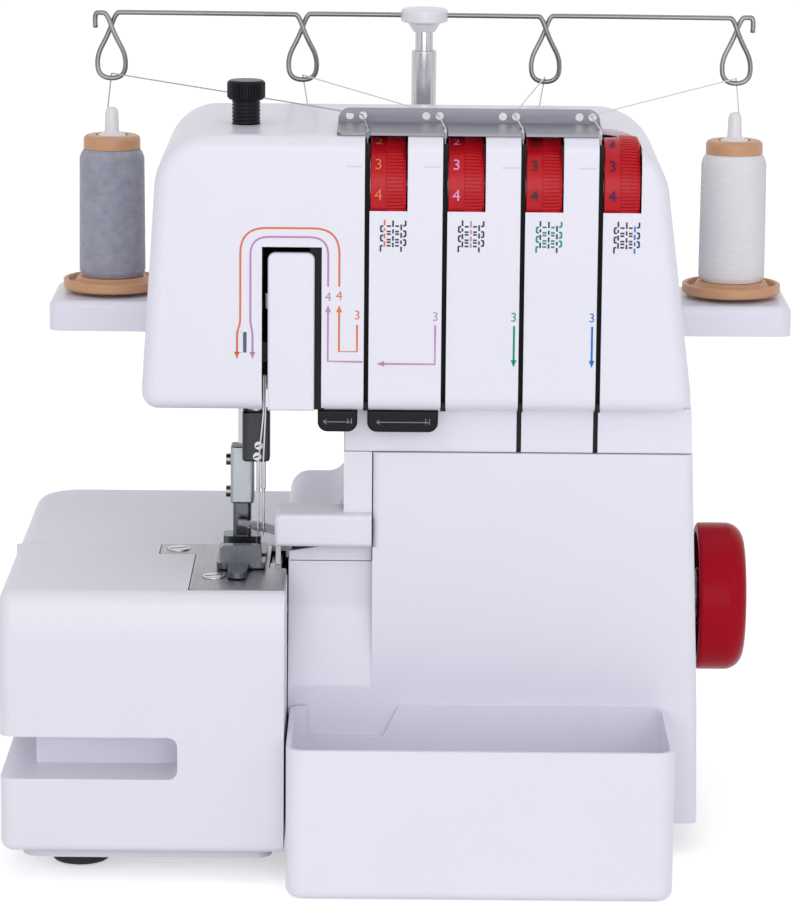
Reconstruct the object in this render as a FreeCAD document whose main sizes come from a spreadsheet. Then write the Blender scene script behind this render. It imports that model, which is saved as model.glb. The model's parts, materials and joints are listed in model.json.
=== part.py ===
"""Overlock sewing machine built as a parametric document, in millimetres.

X runs to the operator's right, Y to the back and Z up from the table. Sizes are drawn
from the front of the bed and moved by centre_x and centre_y, so that the finished
machine stands over the middle of its footprint.
"""
import FreeCAD, Part
import math
import os

import Sketcher

SIZES = [
    ("centre_x", 5.15, "middle of the footprint, left to right"),
    ("centre_y", 94.5, "middle of the footprint, front to back"),
    ("wall", 2.5, "thickness of the moulded covers"),
    ("seam", 0.4, "gap between two covers"),
    ("run_fit", 0.06, "radial clearance of a running shaft"),
    ("foot_height", 7.5, "rubber foot"),
    ("foot_radius", 12.0, "rubber foot"),
    ("case_bottom", 12.0, "table to the lower edge of the covers"),
    ("bed_left", -160.0, "left side of the bed"),
    ("bed_right", -45.0, "right side of the front bed block"),
    ("bed_back", 205.0, "back of the bed"),
    ("bed_top", 120.0, "cloth surface"),
    ("bed_split", 90.0, "seam between cloth plate and rear bed"),
    ("bed_nose", 13.0, "height of the rolled front edge"),
    ("groove_low", 42.6, "finger groove, lower edge"),
    ("groove_high", 60.2, "finger groove, upper edge"),
    ("groove_right", -88.0, "finger groove, right end"),
    ("column_left", -22.0, "left side of the column"),
    ("body_right", 126.5, "right side at the bottom"),
    ("waist_right", 120.4, "right side below the head"),
    ("tub_front", 52.0, "front of the rear cover"),
    ("tub_back", 150.0, "back of the rear cover"),
    ("head_front", 36.0, "front face of the head"),
    ("head_bottom", 188.0, "underside of the head"),
    ("head_top", 300.5, "top of the head"),
    ("head_left_low", -104.9, "left side of the head at its underside"),
    ("head_left_high", -97.7, "left side of the head at its top"),
    ("head_right_high", 105.9, "right side of the head at its top"),
    ("head_corner_left", 22.0, "top left corner radius"),
    ("head_corner_right", 26.0, "top right corner radius"),
    ("head_edge", 6.0, "roll of the head's front edge"),
    ("step_left", -46.0, "raised step behind the foot, left side"),
    ("step_top", 141.0, "raised step behind the foot, top"),
    ("cover_front", 48.0, "front of the looper cover"),
    ("cover_back", 58.0, "back rim of the looper cover"),
    ("cover_top", 168.8, "top of the looper cover"),
    ("panel_left", -10.0, "left edge of the cover's plain panel"),
    ("chute_low", 64.0, "lower end of the trimmings chute"),
    ("chute_high", 122.0, "upper end of the trimmings chute"),
    ("ledge_left", -50.3, "left end of the knife cover"),
    ("ledge_low", 129.5, "underside of the knife cover"),
    ("ledge_high", 143.4, "top of the knife cover"),
    ("ledge_front", 45.0, "front of the knife cover"),
    ("slot_first", -13.1, "first thread slot"),
    ("slot_pitch", 31.37, "thread slot spacing"),
    ("slot_width", 2.0, "thread slot"),
    ("dial_radius", 20.0, "tension dial"),
    ("dial_width", 14.4, "tension dial"),
    ("dial_y", 55.0, "tension dial axis"),
    ("dial_z", 279.0, "tension dial axis"),
    ("post_radius", 3.0, "tension post"),
    ("disc_radius", 11.0, "tension disc"),
    ("take_up_left", -53.0, "take-up cover"),
    ("take_up_right", -34.1, "take-up cover"),
    ("take_up_top", 253.1, "take-up cover"),
    ("needle_x", -58.2, "needle bar axis"),
    ("needle_y", 58.0, "needle bar axis"),
    ("needle_tip", 130.6, "needle points with the bar at the top"),
    ("needle_bar_radius", 3.6, "needle bar"),
    ("needle_gap", 2.2, "distance between the needles"),
    ("presser_x", -63.2, "presser bar axis"),
    ("presser_y", 75.0, "presser bar axis"),
    ("presser_radius", 3.2, "presser bar"),
    ("knob_radius", 7.4, "pressure screw head"),
    ("knob_stem", 5.55, "pressure screw stem"),
    ("knob_top", 318.5, "pressure screw head"),
    ("shaft_y", 100.0, "main shaft axis"),
    ("shaft_z", 97.5, "main shaft axis"),
    ("shaft_radius", 6.0, "main shaft"),
    ("wheel_radius", 31.2, "handwheel"),
    ("wheel_left", 127.0, "handwheel"),
    ("wheel_width", 20.0, "handwheel"),
    ("motor_y", 168.0, "motor axis"),
    ("motor_z", 56.0, "motor axis"),
    ("motor_radius", 26.0, "motor"),
    ("belt_left", 103.0, "belt pulleys"),
    ("belt_width", 8.0, "drive belt"),
    ("big_pulley", 23.0, "main shaft pulley, under the belt"),
    ("small_pulley", 9.0, "motor pulley, under the belt"),
    ("tray_left", -43.6, "waste tray"),
    ("tray_right", 112.1, "waste tray"),
    ("tray_front", -24.0, "waste tray"),
    ("tray_back", 47.6, "waste tray"),
    ("tray_rim", 61.9, "waste tray"),
    ("tray_wall", 2.0, "waste tray"),
    ("stand_left", -151.7, "spool stand"),
    ("stand_right", 170.3, "spool stand"),
    ("stand_front", 157.0, "spool stand"),
    ("stand_back", 213.0, "spool stand"),
    ("stand_low", 199.2, "spool stand"),
    ("stand_high", 212.3, "spool stand"),
    ("spool_y", 185.0, "row of spools"),
    ("spool_inner", 52.7, "inner spools from the telescope post"),
    ("spool_outer", 135.7, "outer spools from the telescope post"),
    ("pin_top", 293.6, "spool pin"),
    ("core_radius", 21.5, "spool flange"),
    ("pack_radius", 14.2, "wound thread"),
    ("pack_low", 219.6, "wound thread"),
    ("pack_high", 275.7, "wound thread"),
    ("core_top", 281.4, "spool top"),
    ("mast_x", 10.0, "telescope post"),
    ("mast_low_radius", 5.45, "lower tube"),
    ("mast_high_radius", 3.9, "upper tube"),
    ("mast_step", 319.4, "top of the lower tube"),
    ("rail_z", 334.6, "thread guide rail"),
    ("rail_radius", 1.1, "thread guide rail"),
    ("loop_drop", 28.5, "rail to the bottom of a loop"),
    ("loop_half", 7.0, "half the width of a loop"),
    ("thread_radius", 0.3, "sewing thread"),
    ("hinge_pin", 1.4, "rod of the looper cover's hinge, radius"),
    ("door_pin", 1.5, "pin of the cloth plate's hinge, radius"),
    ("plate_thickness", 2.3, "needle plate"),
    ("plate_left", -83.6, "needle plate, left side in front"),
    ("plate_front", 8.1, "needle plate, front edge"),
    ("wing_left", -98.9, "needle plate, left side of its rear wing"),
    ("wing_front", 73.0, "needle plate, front of its rear wing"),
    ("rear_screw_x", -91.4, "needle plate screw"),
    ("rear_screw_y", 81.5, "needle plate screw"),
    ("front_screw_x", -74.6, "needle plate screw"),
    ("front_screw_y", 31.5, "needle plate screw"),
    ("plate_screw", 2.0, "needle plate screw, radius"),
    ("blade_x", -50.2, "face where the two knives meet"),
    ("upper_looper_x", -66.0, "upper looper shaft"),
    ("upper_looper_z", 84.0, "upper looper shaft"),
    ("lower_looper_x", -70.0, "lower looper shaft"),
    ("lower_looper_z", 46.0, "lower looper shaft"),
    ("looper_shaft", 4.0, "looper shafts, radius"),
    ("knife_x", -14.5, "upper knife shaft"),
    ("knife_z", 135.0, "upper knife shaft"),
    ("knife_shaft", 3.0, "upper knife shaft, radius"),
    ("lifter_x", -46.0, "presser lifter shaft"),
    ("lifter_z", 221.0, "presser lifter shaft"),
    ("lifter_shaft", 3.0, "presser lifter shaft, radius"),
    ("bush_left", -30.0, "left bearing of the main shaft"),
    ("bush_right", 84.0, "right bearing of the main shaft"),
    ("bush_length", 11.0, "bearings of the main shaft"),
    ("bush_wall", 3.0, "bearing bush"),
    ("motor_shaft", 3.0, "motor shaft, radius"),
    ("lug_high", 231.0, "top of the presser bar's lug"),
    ("spring_high", 252.2, "upper end of the presser spring"),
    ("spring_radius", 5.3, "presser spring, middle of the wire"),
    ("spring_wire", 0.7, "presser spring wire, radius"),
    ("foot_joint", 142.5, "presser foot against its holder"),
    ("holder_top", 166.5, "presser foot holder"),
    ("inlet_y", 173.0, "mains inlet"),
    ("inlet_z", 41.0, "mains inlet"),
    ("inlet_width", 30.0, "mains inlet"),
    ("inlet_height", 26.0, "mains inlet"),
    ("switch_z", 67.0, "rocker switch"),
    ("switch_width", 22.0, "opening of the rocker switch"),
    ("switch_height", 14.0, "opening of the rocker switch"),
]

DOC = FreeCAD.newDocument("overlock_machine")
SHEET = DOC.addObject("Spreadsheet::Sheet", "Sizes")


class Size:
    """A length as an expression over the sheet, with its present value."""

    def __init__(self, text, value):
        self.text = text
        self.value = value

    def join(self, other, sign, swap=False):
        """Combine with another size or number by one arithmetic sign."""
        first = (self.text, self.value)
        second = (text_of(other), number(other))
        if swap:
            first, second = second, first
        results = {
            "+": lambda a, b: a + b,
            "-": lambda a, b: a - b,
            "*": lambda a, b: a * b,
            "/": lambda a, b: a / b,
        }
        value = results[sign](first[1], second[1])
        return Size(f"({first[0]} {sign} {second[0]})", value)

    def __add__(self, other):
        return self.join(other, "+")

    def __radd__(self, other):
        return self.join(other, "+", True)

    def __sub__(self, other):
        return self.join(other, "-")

    def __rsub__(self, other):
        return self.join(other, "-", True)

    def __mul__(self, other):
        return self.join(other, "*")

    def __rmul__(self, other):
        return self.join(other, "*", True)

    def __truediv__(self, other):
        return self.join(other, "/")

    def __neg__(self):
        return self.join(0, "-", True)


def number(size):
    """Present value of a size or a plain number."""
    return size.value if isinstance(size, Size) else float(size)


def text_of(size):
    """Expression text of a size or a plain number."""
    if isinstance(size, Size):
        return size.text
    return f"({size})" if size < 0 else f"{size}"


class Sizes:
    """Every cell of the sheet as an attribute."""


S = Sizes()
for row, (alias, amount, note) in enumerate(SIZES, 1):
    SHEET.set(f"A{row}", alias)
    SHEET.set(f"B{row}", str(amount))
    SHEET.set(f"C{row}", note)
    SHEET.setAlias(f"B{row}", alias)
DOC.recompute()
for alias, amount, note in SIZES:
    setattr(S, alias, Size(f"Sizes.{alias}", float(SHEET.get(alias))))


def bind(thing, name, size):
    """Tie a property of an object to the sheet, or set a fixed number."""
    thing.setExpression(name, text_of(size))


def ring(across, up, radius):
    """A circle for a sketch."""
    return ("ring", across, up, radius)


def box(left, right, low, high, corner=None):
    """A rectangle for a sketch, with its corners rounded if a radius is given."""
    corners = [(left, low), (right, low), (right, high), (left, high)]
    if corner is None:
        return corners
    return [(x, y, corner) for x, y in corners]


class SketchWriter:
    """Draws closed loops into one sketch and binds each corner to the sheet."""

    def __init__(self, sketch):
        self.sketch = sketch

    def place(self, geometry, point, across, up):
        """Hold one point of a geometry at two sizes from the sketch origin."""
        for kind, size in (("DistanceX", across), ("DistanceY", up)):
            rule = Sketcher.Constraint(kind, -1, 1, geometry, point, number(size))
            index = self.sketch.addConstraint(rule)
            if isinstance(size, Size):
                bind(self.sketch, f"Constraints[{index}]", size)

    def radius(self, geometry, size):
        """Hold the radius of a circle or an arc."""
        rule = Sketcher.Constraint("Radius", geometry, number(size))
        index = self.sketch.addConstraint(rule)
        if isinstance(size, Size):
            bind(self.sketch, f"Constraints[{index}]", size)

    def ring(self, across, up, radius):
        """Draw a circle."""
        centre = FreeCAD.Vector(number(across), number(up), 0)
        circle = Part.Circle(centre, FreeCAD.Vector(0, 0, 1), number(radius))
        geometry = self.sketch.addGeometry(circle, False)
        self.place(geometry, 3, across, up)
        self.radius(geometry, radius)

    def loop(self, corners):
        """Draw a closed polygon; a corner with a third number is rounded by it."""
        spots = [FreeCAD.Vector(number(c[0]), number(c[1]), 0) for c in corners]
        count = len(corners)
        starts = list(spots)
        ends = list(spots)
        arcs = [None] * count
        for i, corner in enumerate(corners):
            if len(corner) < 3:
                continue
            toward = (spots[i - 1] - spots[i]).normalize()
            onward = (spots[(i + 1) % count] - spots[i]).normalize()
            half = toward.getAngle(onward) / 2
            reach = number(corner[2]) / math.tan(half)
            ends[i] = spots[i] + toward * reach
            starts[i] = spots[i] + onward * reach
            middle = (toward + onward).normalize() * (number(corner[2]) / math.sin(half))
            left_turn = toward.cross(onward).z < 0
            arcs[i] = (spots[i] + middle, left_turn)
        lines = []
        for i in range(count):
            segment = Part.LineSegment(starts[i], ends[(i + 1) % count])
            lines.append(self.sketch.addGeometry(segment, False))
        for i, corner in enumerate(corners):
            before = lines[i - 1]
            after = lines[i]
            if arcs[i] is None:
                self.sketch.addConstraint(Sketcher.Constraint("Coincident", before, 2, after, 1))
                self.place(after, 1, corner[0], corner[1])
                continue
            self.corner(corner, before, after, ends[i], starts[i], *arcs[i])

    def corner(self, corner, before, after, arrive, leave, centre, left_turn):
        """Draw the arc of one rounded corner and tie it to its two lines."""
        first, last = (arrive, leave) if left_turn else (leave, arrive)
        start = math.atan2(first.y - centre.y, first.x - centre.x)
        finish = math.atan2(last.y - centre.y, last.x - centre.x)
        if finish < start:
            finish += 2 * math.pi
        circle = Part.Circle(centre, FreeCAD.Vector(0, 0, 1), number(corner[2]))
        arc = self.sketch.addGeometry(Part.ArcOfCircle(circle, start, finish), False)
        tip = FreeCAD.Vector(number(corner[0]), number(corner[1]), 0)
        point = self.sketch.addGeometry(Part.Point(tip), True)
        arrive_end, leave_end = (1, 2) if left_turn else (2, 1)
        self.sketch.addConstraint(Sketcher.Constraint("Tangent", before, 2, arc, arrive_end))
        self.sketch.addConstraint(Sketcher.Constraint("Tangent", arc, leave_end, after, 1))
        self.place(point, 1, corner[0], corner[1])
        self.sketch.addConstraint(Sketcher.Constraint("PointOnObject", point, 1, before))
        self.sketch.addConstraint(Sketcher.Constraint("PointOnObject", point, 1, after))
        self.radius(arc, corner[2])

    def belt(self, first, second):
        """Draw the loop of a belt round two circles, each (across, up, radius)."""
        one = FreeCAD.Vector(number(first[0]), number(first[1]), 0)
        two = FreeCAD.Vector(number(second[0]), number(second[1]), 0)
        apart = two - one
        heading = math.atan2(apart.y, apart.x)
        spread = math.acos((number(first[2]) - number(second[2])) / apart.Length)
        arcs = []
        for spot, size, start, sweep in (
            (one, first[2], heading + spread, 2 * math.pi - 2 * spread),
            (two, second[2], heading - spread, 2 * spread),
        ):
            circle = Part.Circle(spot, FreeCAD.Vector(0, 0, 1), number(size))
            arc = Part.ArcOfCircle(circle, start, start + sweep)
            arcs.append((self.sketch.addGeometry(arc, False), arc))
        lines = []
        for here, there in ((0, 1), (1, 0)):
            segment = Part.LineSegment(arcs[here][1].EndPoint, arcs[there][1].StartPoint)
            lines.append(self.sketch.addGeometry(segment, False))
        for here, there in ((0, 1), (1, 0)):
            rule = Sketcher.Constraint("Tangent", arcs[here][0], 2, lines[here], 1)
            self.sketch.addConstraint(rule)
            rule = Sketcher.Constraint("Tangent", lines[here], 2, arcs[there][0], 1)
            self.sketch.addConstraint(rule)
        for (geometry, arc), spec in zip(arcs, (first, second)):
            self.place(geometry, 3, spec[0], spec[1])
            self.radius(geometry, spec[2])


def on(**wanted):
    """A test that a whole edge or face lies at the given coordinates."""

    def test(shape):
        spots = [v.Point for v in shape.Vertexes]
        if isinstance(shape, Part.Edge):
            spots += [shape.valueAt(shape.FirstParameter * (1 - k) + shape.LastParameter * k)
                      for k in (0.25, 0.5, 0.75)]
        else:
            spots.append(shape.CenterOfMass)
        return all(abs(getattr(p, axis) - number(size)) < 0.02
                   for p in spots for axis, size in wanted.items())

    return test


def either(*tests):
    """A test that passes when one of several does."""
    return lambda shape: any(test(shape) for test in tests)


class Piece:
    """One sub-part: a body whose label is the name of its file."""

    made = []

    def __init__(self, label):
        self.label = label
        self.body = DOC.addObject("PartDesign::Body", label)
        self.body.Label = label
        self.body.AllowCompound = True
        bind(self.body, "Placement.Base.x", -S.centre_x)
        bind(self.body, "Placement.Base.y", -S.centre_y)
        Piece.made.append(self)

    @staticmethod
    def refresh(*steps):
        """Work out new objects in order, and give back the last."""
        for step in steps:
            step.recompute()
        return steps[-1]

    def sketch(self, plane, origin, loops):
        """Put loops on an origin plane moved so that its origin is at a point."""
        support = next(f for f in self.body.Origin.OriginFeatures if f.Role == plane + "_Plane")
        sketch = self.body.newObject("Sketcher::SketchObject", self.label + "_sketch")
        sketch.AttachmentSupport = [(support, "")]
        sketch.MapMode = "FlatFace"
        x, y, z = origin
        local = {"XY": (x, y, z), "XZ": (x, z, -y), "YZ": (y, z, x)}[plane]
        for axis, size in zip("xyz", local):
            if isinstance(size, Size) or size != 0:
                bind(sketch, f"AttachmentOffset.Base.{axis}", size)
        writer = SketchWriter(sketch)
        for loop in loops:
            if loop[0] == "ring":
                writer.ring(*loop[1:])
            elif loop[0] == "belt":
                writer.belt(*loop[1:])
            else:
                writer.loop(loop)
        return sketch

    def level(self, plane, start, loops):
        """A sketch on a plane moved along its own normal."""
        origin = {"XY": (0, 0, start), "XZ": (0, start, 0), "YZ": (start, 0, 0)}[plane]
        return self.sketch(plane, origin, loops)

    def pad(self, plane, start, finish, *loops):
        """Add material between two levels of an axis."""
        profile = self.level(plane, start, loops)
        step = self.body.newObject("PartDesign::Pad", self.label + "_pad")
        step.Profile = profile
        step.Reversed = plane == "XZ"
        bind(step, "Length", finish - start)
        return self.refresh(profile, step)

    def cut(self, plane, start, finish, *loops):
        """Take material away between two levels of an axis."""
        profile = self.level(plane, start, loops)
        step = self.body.newObject("PartDesign::Pocket", self.label + "_cut")
        step.Profile = profile
        step.Reversed = plane != "XZ"
        bind(step, "Length", finish - start)
        return self.refresh(profile, step)

    def turn(self, plane, origin, axis, *loops, angle=360, middle=False, back=False):
        """Add material by turning loops about the sketch's own H or V axis."""
        profile = self.sketch(plane, origin, loops)
        step = self.body.newObject("PartDesign::Revolution", self.label + "_turn")
        step.Profile = profile
        step.ReferenceAxis = (profile, [axis + "_Axis"])
        step.Angle = angle
        step.Midplane = middle
        step.Reversed = back
        return self.refresh(profile, step)

    def edges(self, test):
        """Names of the edges of the latest step that pass a test."""
        return [f"Edge{i}" for i, e in enumerate(self.body.Tip.Shape.Edges, 1) if test(e)]

    def round(self, radius, test):
        """Round the edges that pass a test."""
        names = self.edges(test)
        if not names:
            raise RuntimeError(f"{self.label}: no edge to round")
        base = self.body.Tip
        step = self.body.newObject("PartDesign::Fillet", self.label + "_round")
        step.Base = (base, names)
        bind(step, "Radius", radius)
        return self.refresh(step)

    def hollow(self, thickness, test):
        """Leave a wall of one thickness and open the faces that pass a test."""
        base = self.body.Tip
        names = [f"Face{i}" for i, f in enumerate(base.Shape.Faces, 1) if test(f)]
        step = self.body.newObject("PartDesign::Thickness", self.label + "_hollow")
        step.Base = (base, names)
        step.Reversed = True
        bind(step, "Value", thickness)
        return self.refresh(step)


def slot_x(index):
    """Middle of one thread slot, counted from the left."""
    return S.slot_first + index * S.slot_pitch


def spool_x(index):
    """Middle of one spool, counted from the left."""
    offsets = (-S.spool_outer, -S.spool_inner, S.spool_inner, S.spool_outer)
    return S.mast_x + offsets[index]


base_top = S.case_bottom - 0.5
hinge_y = S.cover_front + 5
hinge_z = S.case_bottom + 4
web_front = S.tub_back - 26
web_back = S.tub_back - 16
plate_low = S.bed_top - S.plate_thickness
pivot_x = S.bed_left + 3
pivot_y = S.bed_split - 3
plate_screws = ((S.rear_screw_x, S.rear_screw_y), (S.front_screw_x, S.front_screw_y))
side_face = S.body_right - 1.5
inlet_spot = (S.inlet_y - S.inlet_width / 2, S.inlet_y + S.inlet_width / 2,
              S.inlet_z - S.inlet_height / 2, S.inlet_z + S.inlet_height / 2)
switch_spot = (S.inlet_y - S.switch_width / 2, S.inlet_y + S.switch_width / 2,
               S.switch_z - S.switch_height / 2, S.switch_z + S.switch_height / 2)


def base():
    """Base plate with its hinge lugs, and the four rubber feet."""
    plate = Piece("base_plate")
    left = S.bed_left + 8
    right = S.body_right - 10
    back = S.bed_back - 8
    front = S.cover_back + 4
    plate.pad("XY", S.foot_height, base_top, [
        (left, 8, 8), (S.bed_right - 5, 8, 8), (S.bed_right - 5, front, 4),
        (right, front, 8), (right, back, 8), (left, back, 8)])
    for x in (S.panel_left - 16, S.panel_left + 52, S.panel_left + 112):
        plate.pad("YZ", x, x + 5, box(front, front + 6, S.foot_height + 1, hinge_z + 2))
        plate.pad("YZ", x, x + 5, box(hinge_y, front + 3, hinge_z - 2, hinge_z + 2))
        plate.pad("YZ", x, x + 5, ring(hinge_y, hinge_z, S.hinge_pin + 0.8))
        plate.cut("YZ", x - 1, x + 6, ring(hinge_y, hinge_z, S.hinge_pin))
    feet = Piece("rubber_feet")
    spots = [(x, y) for x in (S.bed_left + 30.6, right - 16) for y in (front + 14, back - 16)]
    spots[0] = (S.bed_left + 30.6, 32)
    feet.pad("XY", 0, S.foot_height, *[ring(x, y, S.foot_radius) for x, y in spots])
    feet.round(2, on(z=0))
    rod = Piece("cover_hinge_rod")
    rod.pad("YZ", S.panel_left - 26, S.panel_left + 124, ring(hinge_y, hinge_z, S.hinge_pin))


def frame():
    """Cast frame that carries the shafts, the bars and the needle plate."""
    cast = Piece("main_frame")
    right = S.waist_right - 20.4
    column = S.column_left + 3
    top = S.head_top - 12.5
    arm_low = S.head_bottom + 18
    bed_high = S.bed_top - 4
    cast.pad("XZ", web_front, web_back, [
        (-100, base_top, 8), (right, base_top, 8), (right, top, 12), (-92, top, 12),
        (-92, arm_low, 8), (column, arm_low, 10), (column, bed_high, 6), (-100, bed_high, 8)])
    cast.cut("XZ", web_front - 1, web_back + 1, box(30, 80, 140, 190, 10), box(0, 70, 225, 270, 12))
    arm_left = S.wing_left + 1.9
    arm_right = S.upper_looper_x - 4.5
    cast.pad("XY", plate_low - 5.2, plate_low - 0.9, box(arm_left, arm_right, S.plate_front + 16, web_front + 2, 4))
    cast.pad("XY", plate_low - 2, plate_low,
             box(S.plate_left + 1.2, arm_right, S.plate_front + 16, S.bed_split - 1, 3))
    cast.pad("XY", plate_low - 2, plate_low, box(arm_left, arm_right, S.wing_front + 1.5, S.bed_split - 1, 3))
    for x in (S.bush_left, S.bush_right):
        cast.pad("YZ", x, x + S.bush_length,
                 box(S.shaft_y - 18, web_front + 2, S.shaft_z - 22, S.shaft_z + 18, 6))
    cast.cut("YZ", S.bush_left - 1, S.bush_right + S.bush_length + 1,
             ring(S.shaft_y, S.shaft_z, S.shaft_radius + S.bush_wall))
    for z in (arm_low, S.head_top - 38.5):
        cast.pad("XY", z, z + 8, box(S.presser_x - 16, S.take_up_right - 4, 50, web_front + 2, 5))
    cast.cut("XY", S.head_bottom, S.head_top,
             ring(S.needle_x, S.needle_y, S.needle_bar_radius + S.run_fit))
    cast.cut("XY", S.head_bottom, arm_low + 9,
             ring(S.presser_x, S.presser_y, S.presser_radius + S.run_fit))
    cast.cut("XY", arm_low + 12, S.head_top,
             ring(S.presser_x, S.presser_y, S.knob_stem + S.run_fit))
    cast.cut("XZ", web_front - 1, web_back + 1,
             ring(S.upper_looper_x, S.upper_looper_z, S.looper_shaft + S.run_fit),
             ring(S.lower_looper_x, S.lower_looper_z, S.looper_shaft + S.run_fit),
             ring(S.knife_x, S.knife_z, S.knife_shaft + S.run_fit),
             ring(S.lifter_x, S.lifter_z, S.lifter_shaft + S.run_fit))
    cast.cut("XY", S.bed_top - 10, S.bed_top, *[ring(x, y, S.plate_screw) for x, y in plate_screws])


def head_side(inset=0):
    """Corners of the head from its top right to its lower left."""
    return [
        (S.head_right_high - inset, S.head_top - inset, S.head_corner_right - inset),
        (S.head_left_high + inset, S.head_top - inset, S.head_corner_left - inset),
        (S.head_left_low + inset, S.head_bottom + inset, 7 - inset),
    ]


def tub_side(low, inset=0):
    """Outline of the rear cover seen from the front, or its inner face."""
    under = S.bed_top + S.seam + inset
    left = S.column_left + inset
    top = S.step_top - inset
    return [
        (left, low), (S.body_right - inset, low), (S.body_right - 0.9 - inset, 60),
        (S.waist_right - inset, S.head_bottom - 2), *head_side(inset),
        (left, S.head_bottom + inset, 8 + inset), (left, top, 8 + inset),
        (S.step_left + inset, top, 8 - inset), (S.step_left + inset, under), (left, under)]


def rear_cover():
    """One moulding for the back of the head, the column and the right side."""
    tub = Piece("rear_cover")
    tub.pad("XZ", S.tub_front, S.tub_back, tub_side(S.case_bottom))
    tub.round(5, on(y=S.tub_back))
    tub.cut("XZ", S.tub_front - 1, S.tub_back - S.wall, tub_side(S.case_bottom - 1, S.wall))
    front_edge = S.cover_top + S.seam
    tub.cut("XZ", S.tub_front - 1, S.cover_back + S.seam, box(-60, 140, 0, front_edge))
    tub.cut("XZ", S.tub_front - 1, 66, box(-60, S.column_left + 4, 100, 150))
    inner = S.column_left + S.wall + 0.2
    tub.cut("XZ", S.tub_front - 1, S.tub_back + 1,
            box(S.column_left - 1, inner, 0, S.bed_top - 2))
    tub.cut("XZ", S.tub_back - 12, S.tub_back + 1,
            box(S.column_left - 1, S.body_right - 9, 0, S.bed_top - 2))
    tub.cut("YZ", 110, 132, ring(S.shaft_y, S.shaft_z, S.shaft_radius + 1))
    tub.cut("XY", S.head_top - 8, S.head_top + 1, ring(S.presser_x, S.presser_y, S.knob_stem + 0.45))
    tub.cut("XY", S.head_bottom - 1, S.head_bottom + 6,
            box(S.presser_x - 12, -50, S.tub_front - 5, S.presser_y + 9))
    tub.cut("XZ", S.tub_back - 6, S.tub_back + 1, ring(S.lifter_x, S.lifter_z, S.lifter_shaft + 1))
    for index in range(4):
        left = slot_x(index) + 0.7
        tub.cut("XY", S.head_top - 14, S.head_top + 1,
                box(left, left + S.dial_width + 1.2, S.tub_front - 1, S.dial_y + 14))
    vents = [box(20 + 9 * k, 24 + 9 * k, 140, 175, 1.9) for k in range(7)]
    tub.cut("XZ", S.tub_back - 6, S.tub_back + 1, *vents)


def bed_rear_cover():
    """Rear deck of the bed, its left, back and right walls and the hinge tabs."""
    deck = Piece("bed_rear_cover")
    front = S.bed_split + S.seam
    inner = S.column_left - S.seam
    step = S.tub_back + S.seam
    right = side_face
    deck.pad("XY", S.case_bottom, S.bed_top, [
        (S.bed_left, front), (inner, front), (inner, step), (right, step),
        (right, S.bed_back, 12), (S.bed_left, S.bed_back, 20)])
    outer = either(on(z=S.bed_top, x=S.bed_left), on(z=S.bed_top, y=S.bed_back))
    deck.round(6, outer)
    deck.hollow(S.wall, either(on(z=S.case_bottom), on(y=front), on(x=inner), on(y=step)))
    for low in (S.case_bottom, S.bed_top - 14.6):
        deck.pad("XY", low, low + 4.6, box(S.bed_left, pivot_x + 3, pivot_y, front + 2))
        deck.pad("XY", low, low + 4.6, ring(pivot_x, pivot_y, S.door_pin + 1.5))
        deck.cut("XY", low - 1, low + 6, ring(pivot_x, pivot_y, S.door_pin))
    deck.cut("YZ", right - 6, right + 2, box(*inlet_spot, 3), box(*switch_spot, 2))
    pin = Piece("cloth_plate_hinge_pin")
    pin.pad("XY", S.case_bottom, S.bed_top - 10, ring(pivot_x, pivot_y, S.door_pin))


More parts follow.
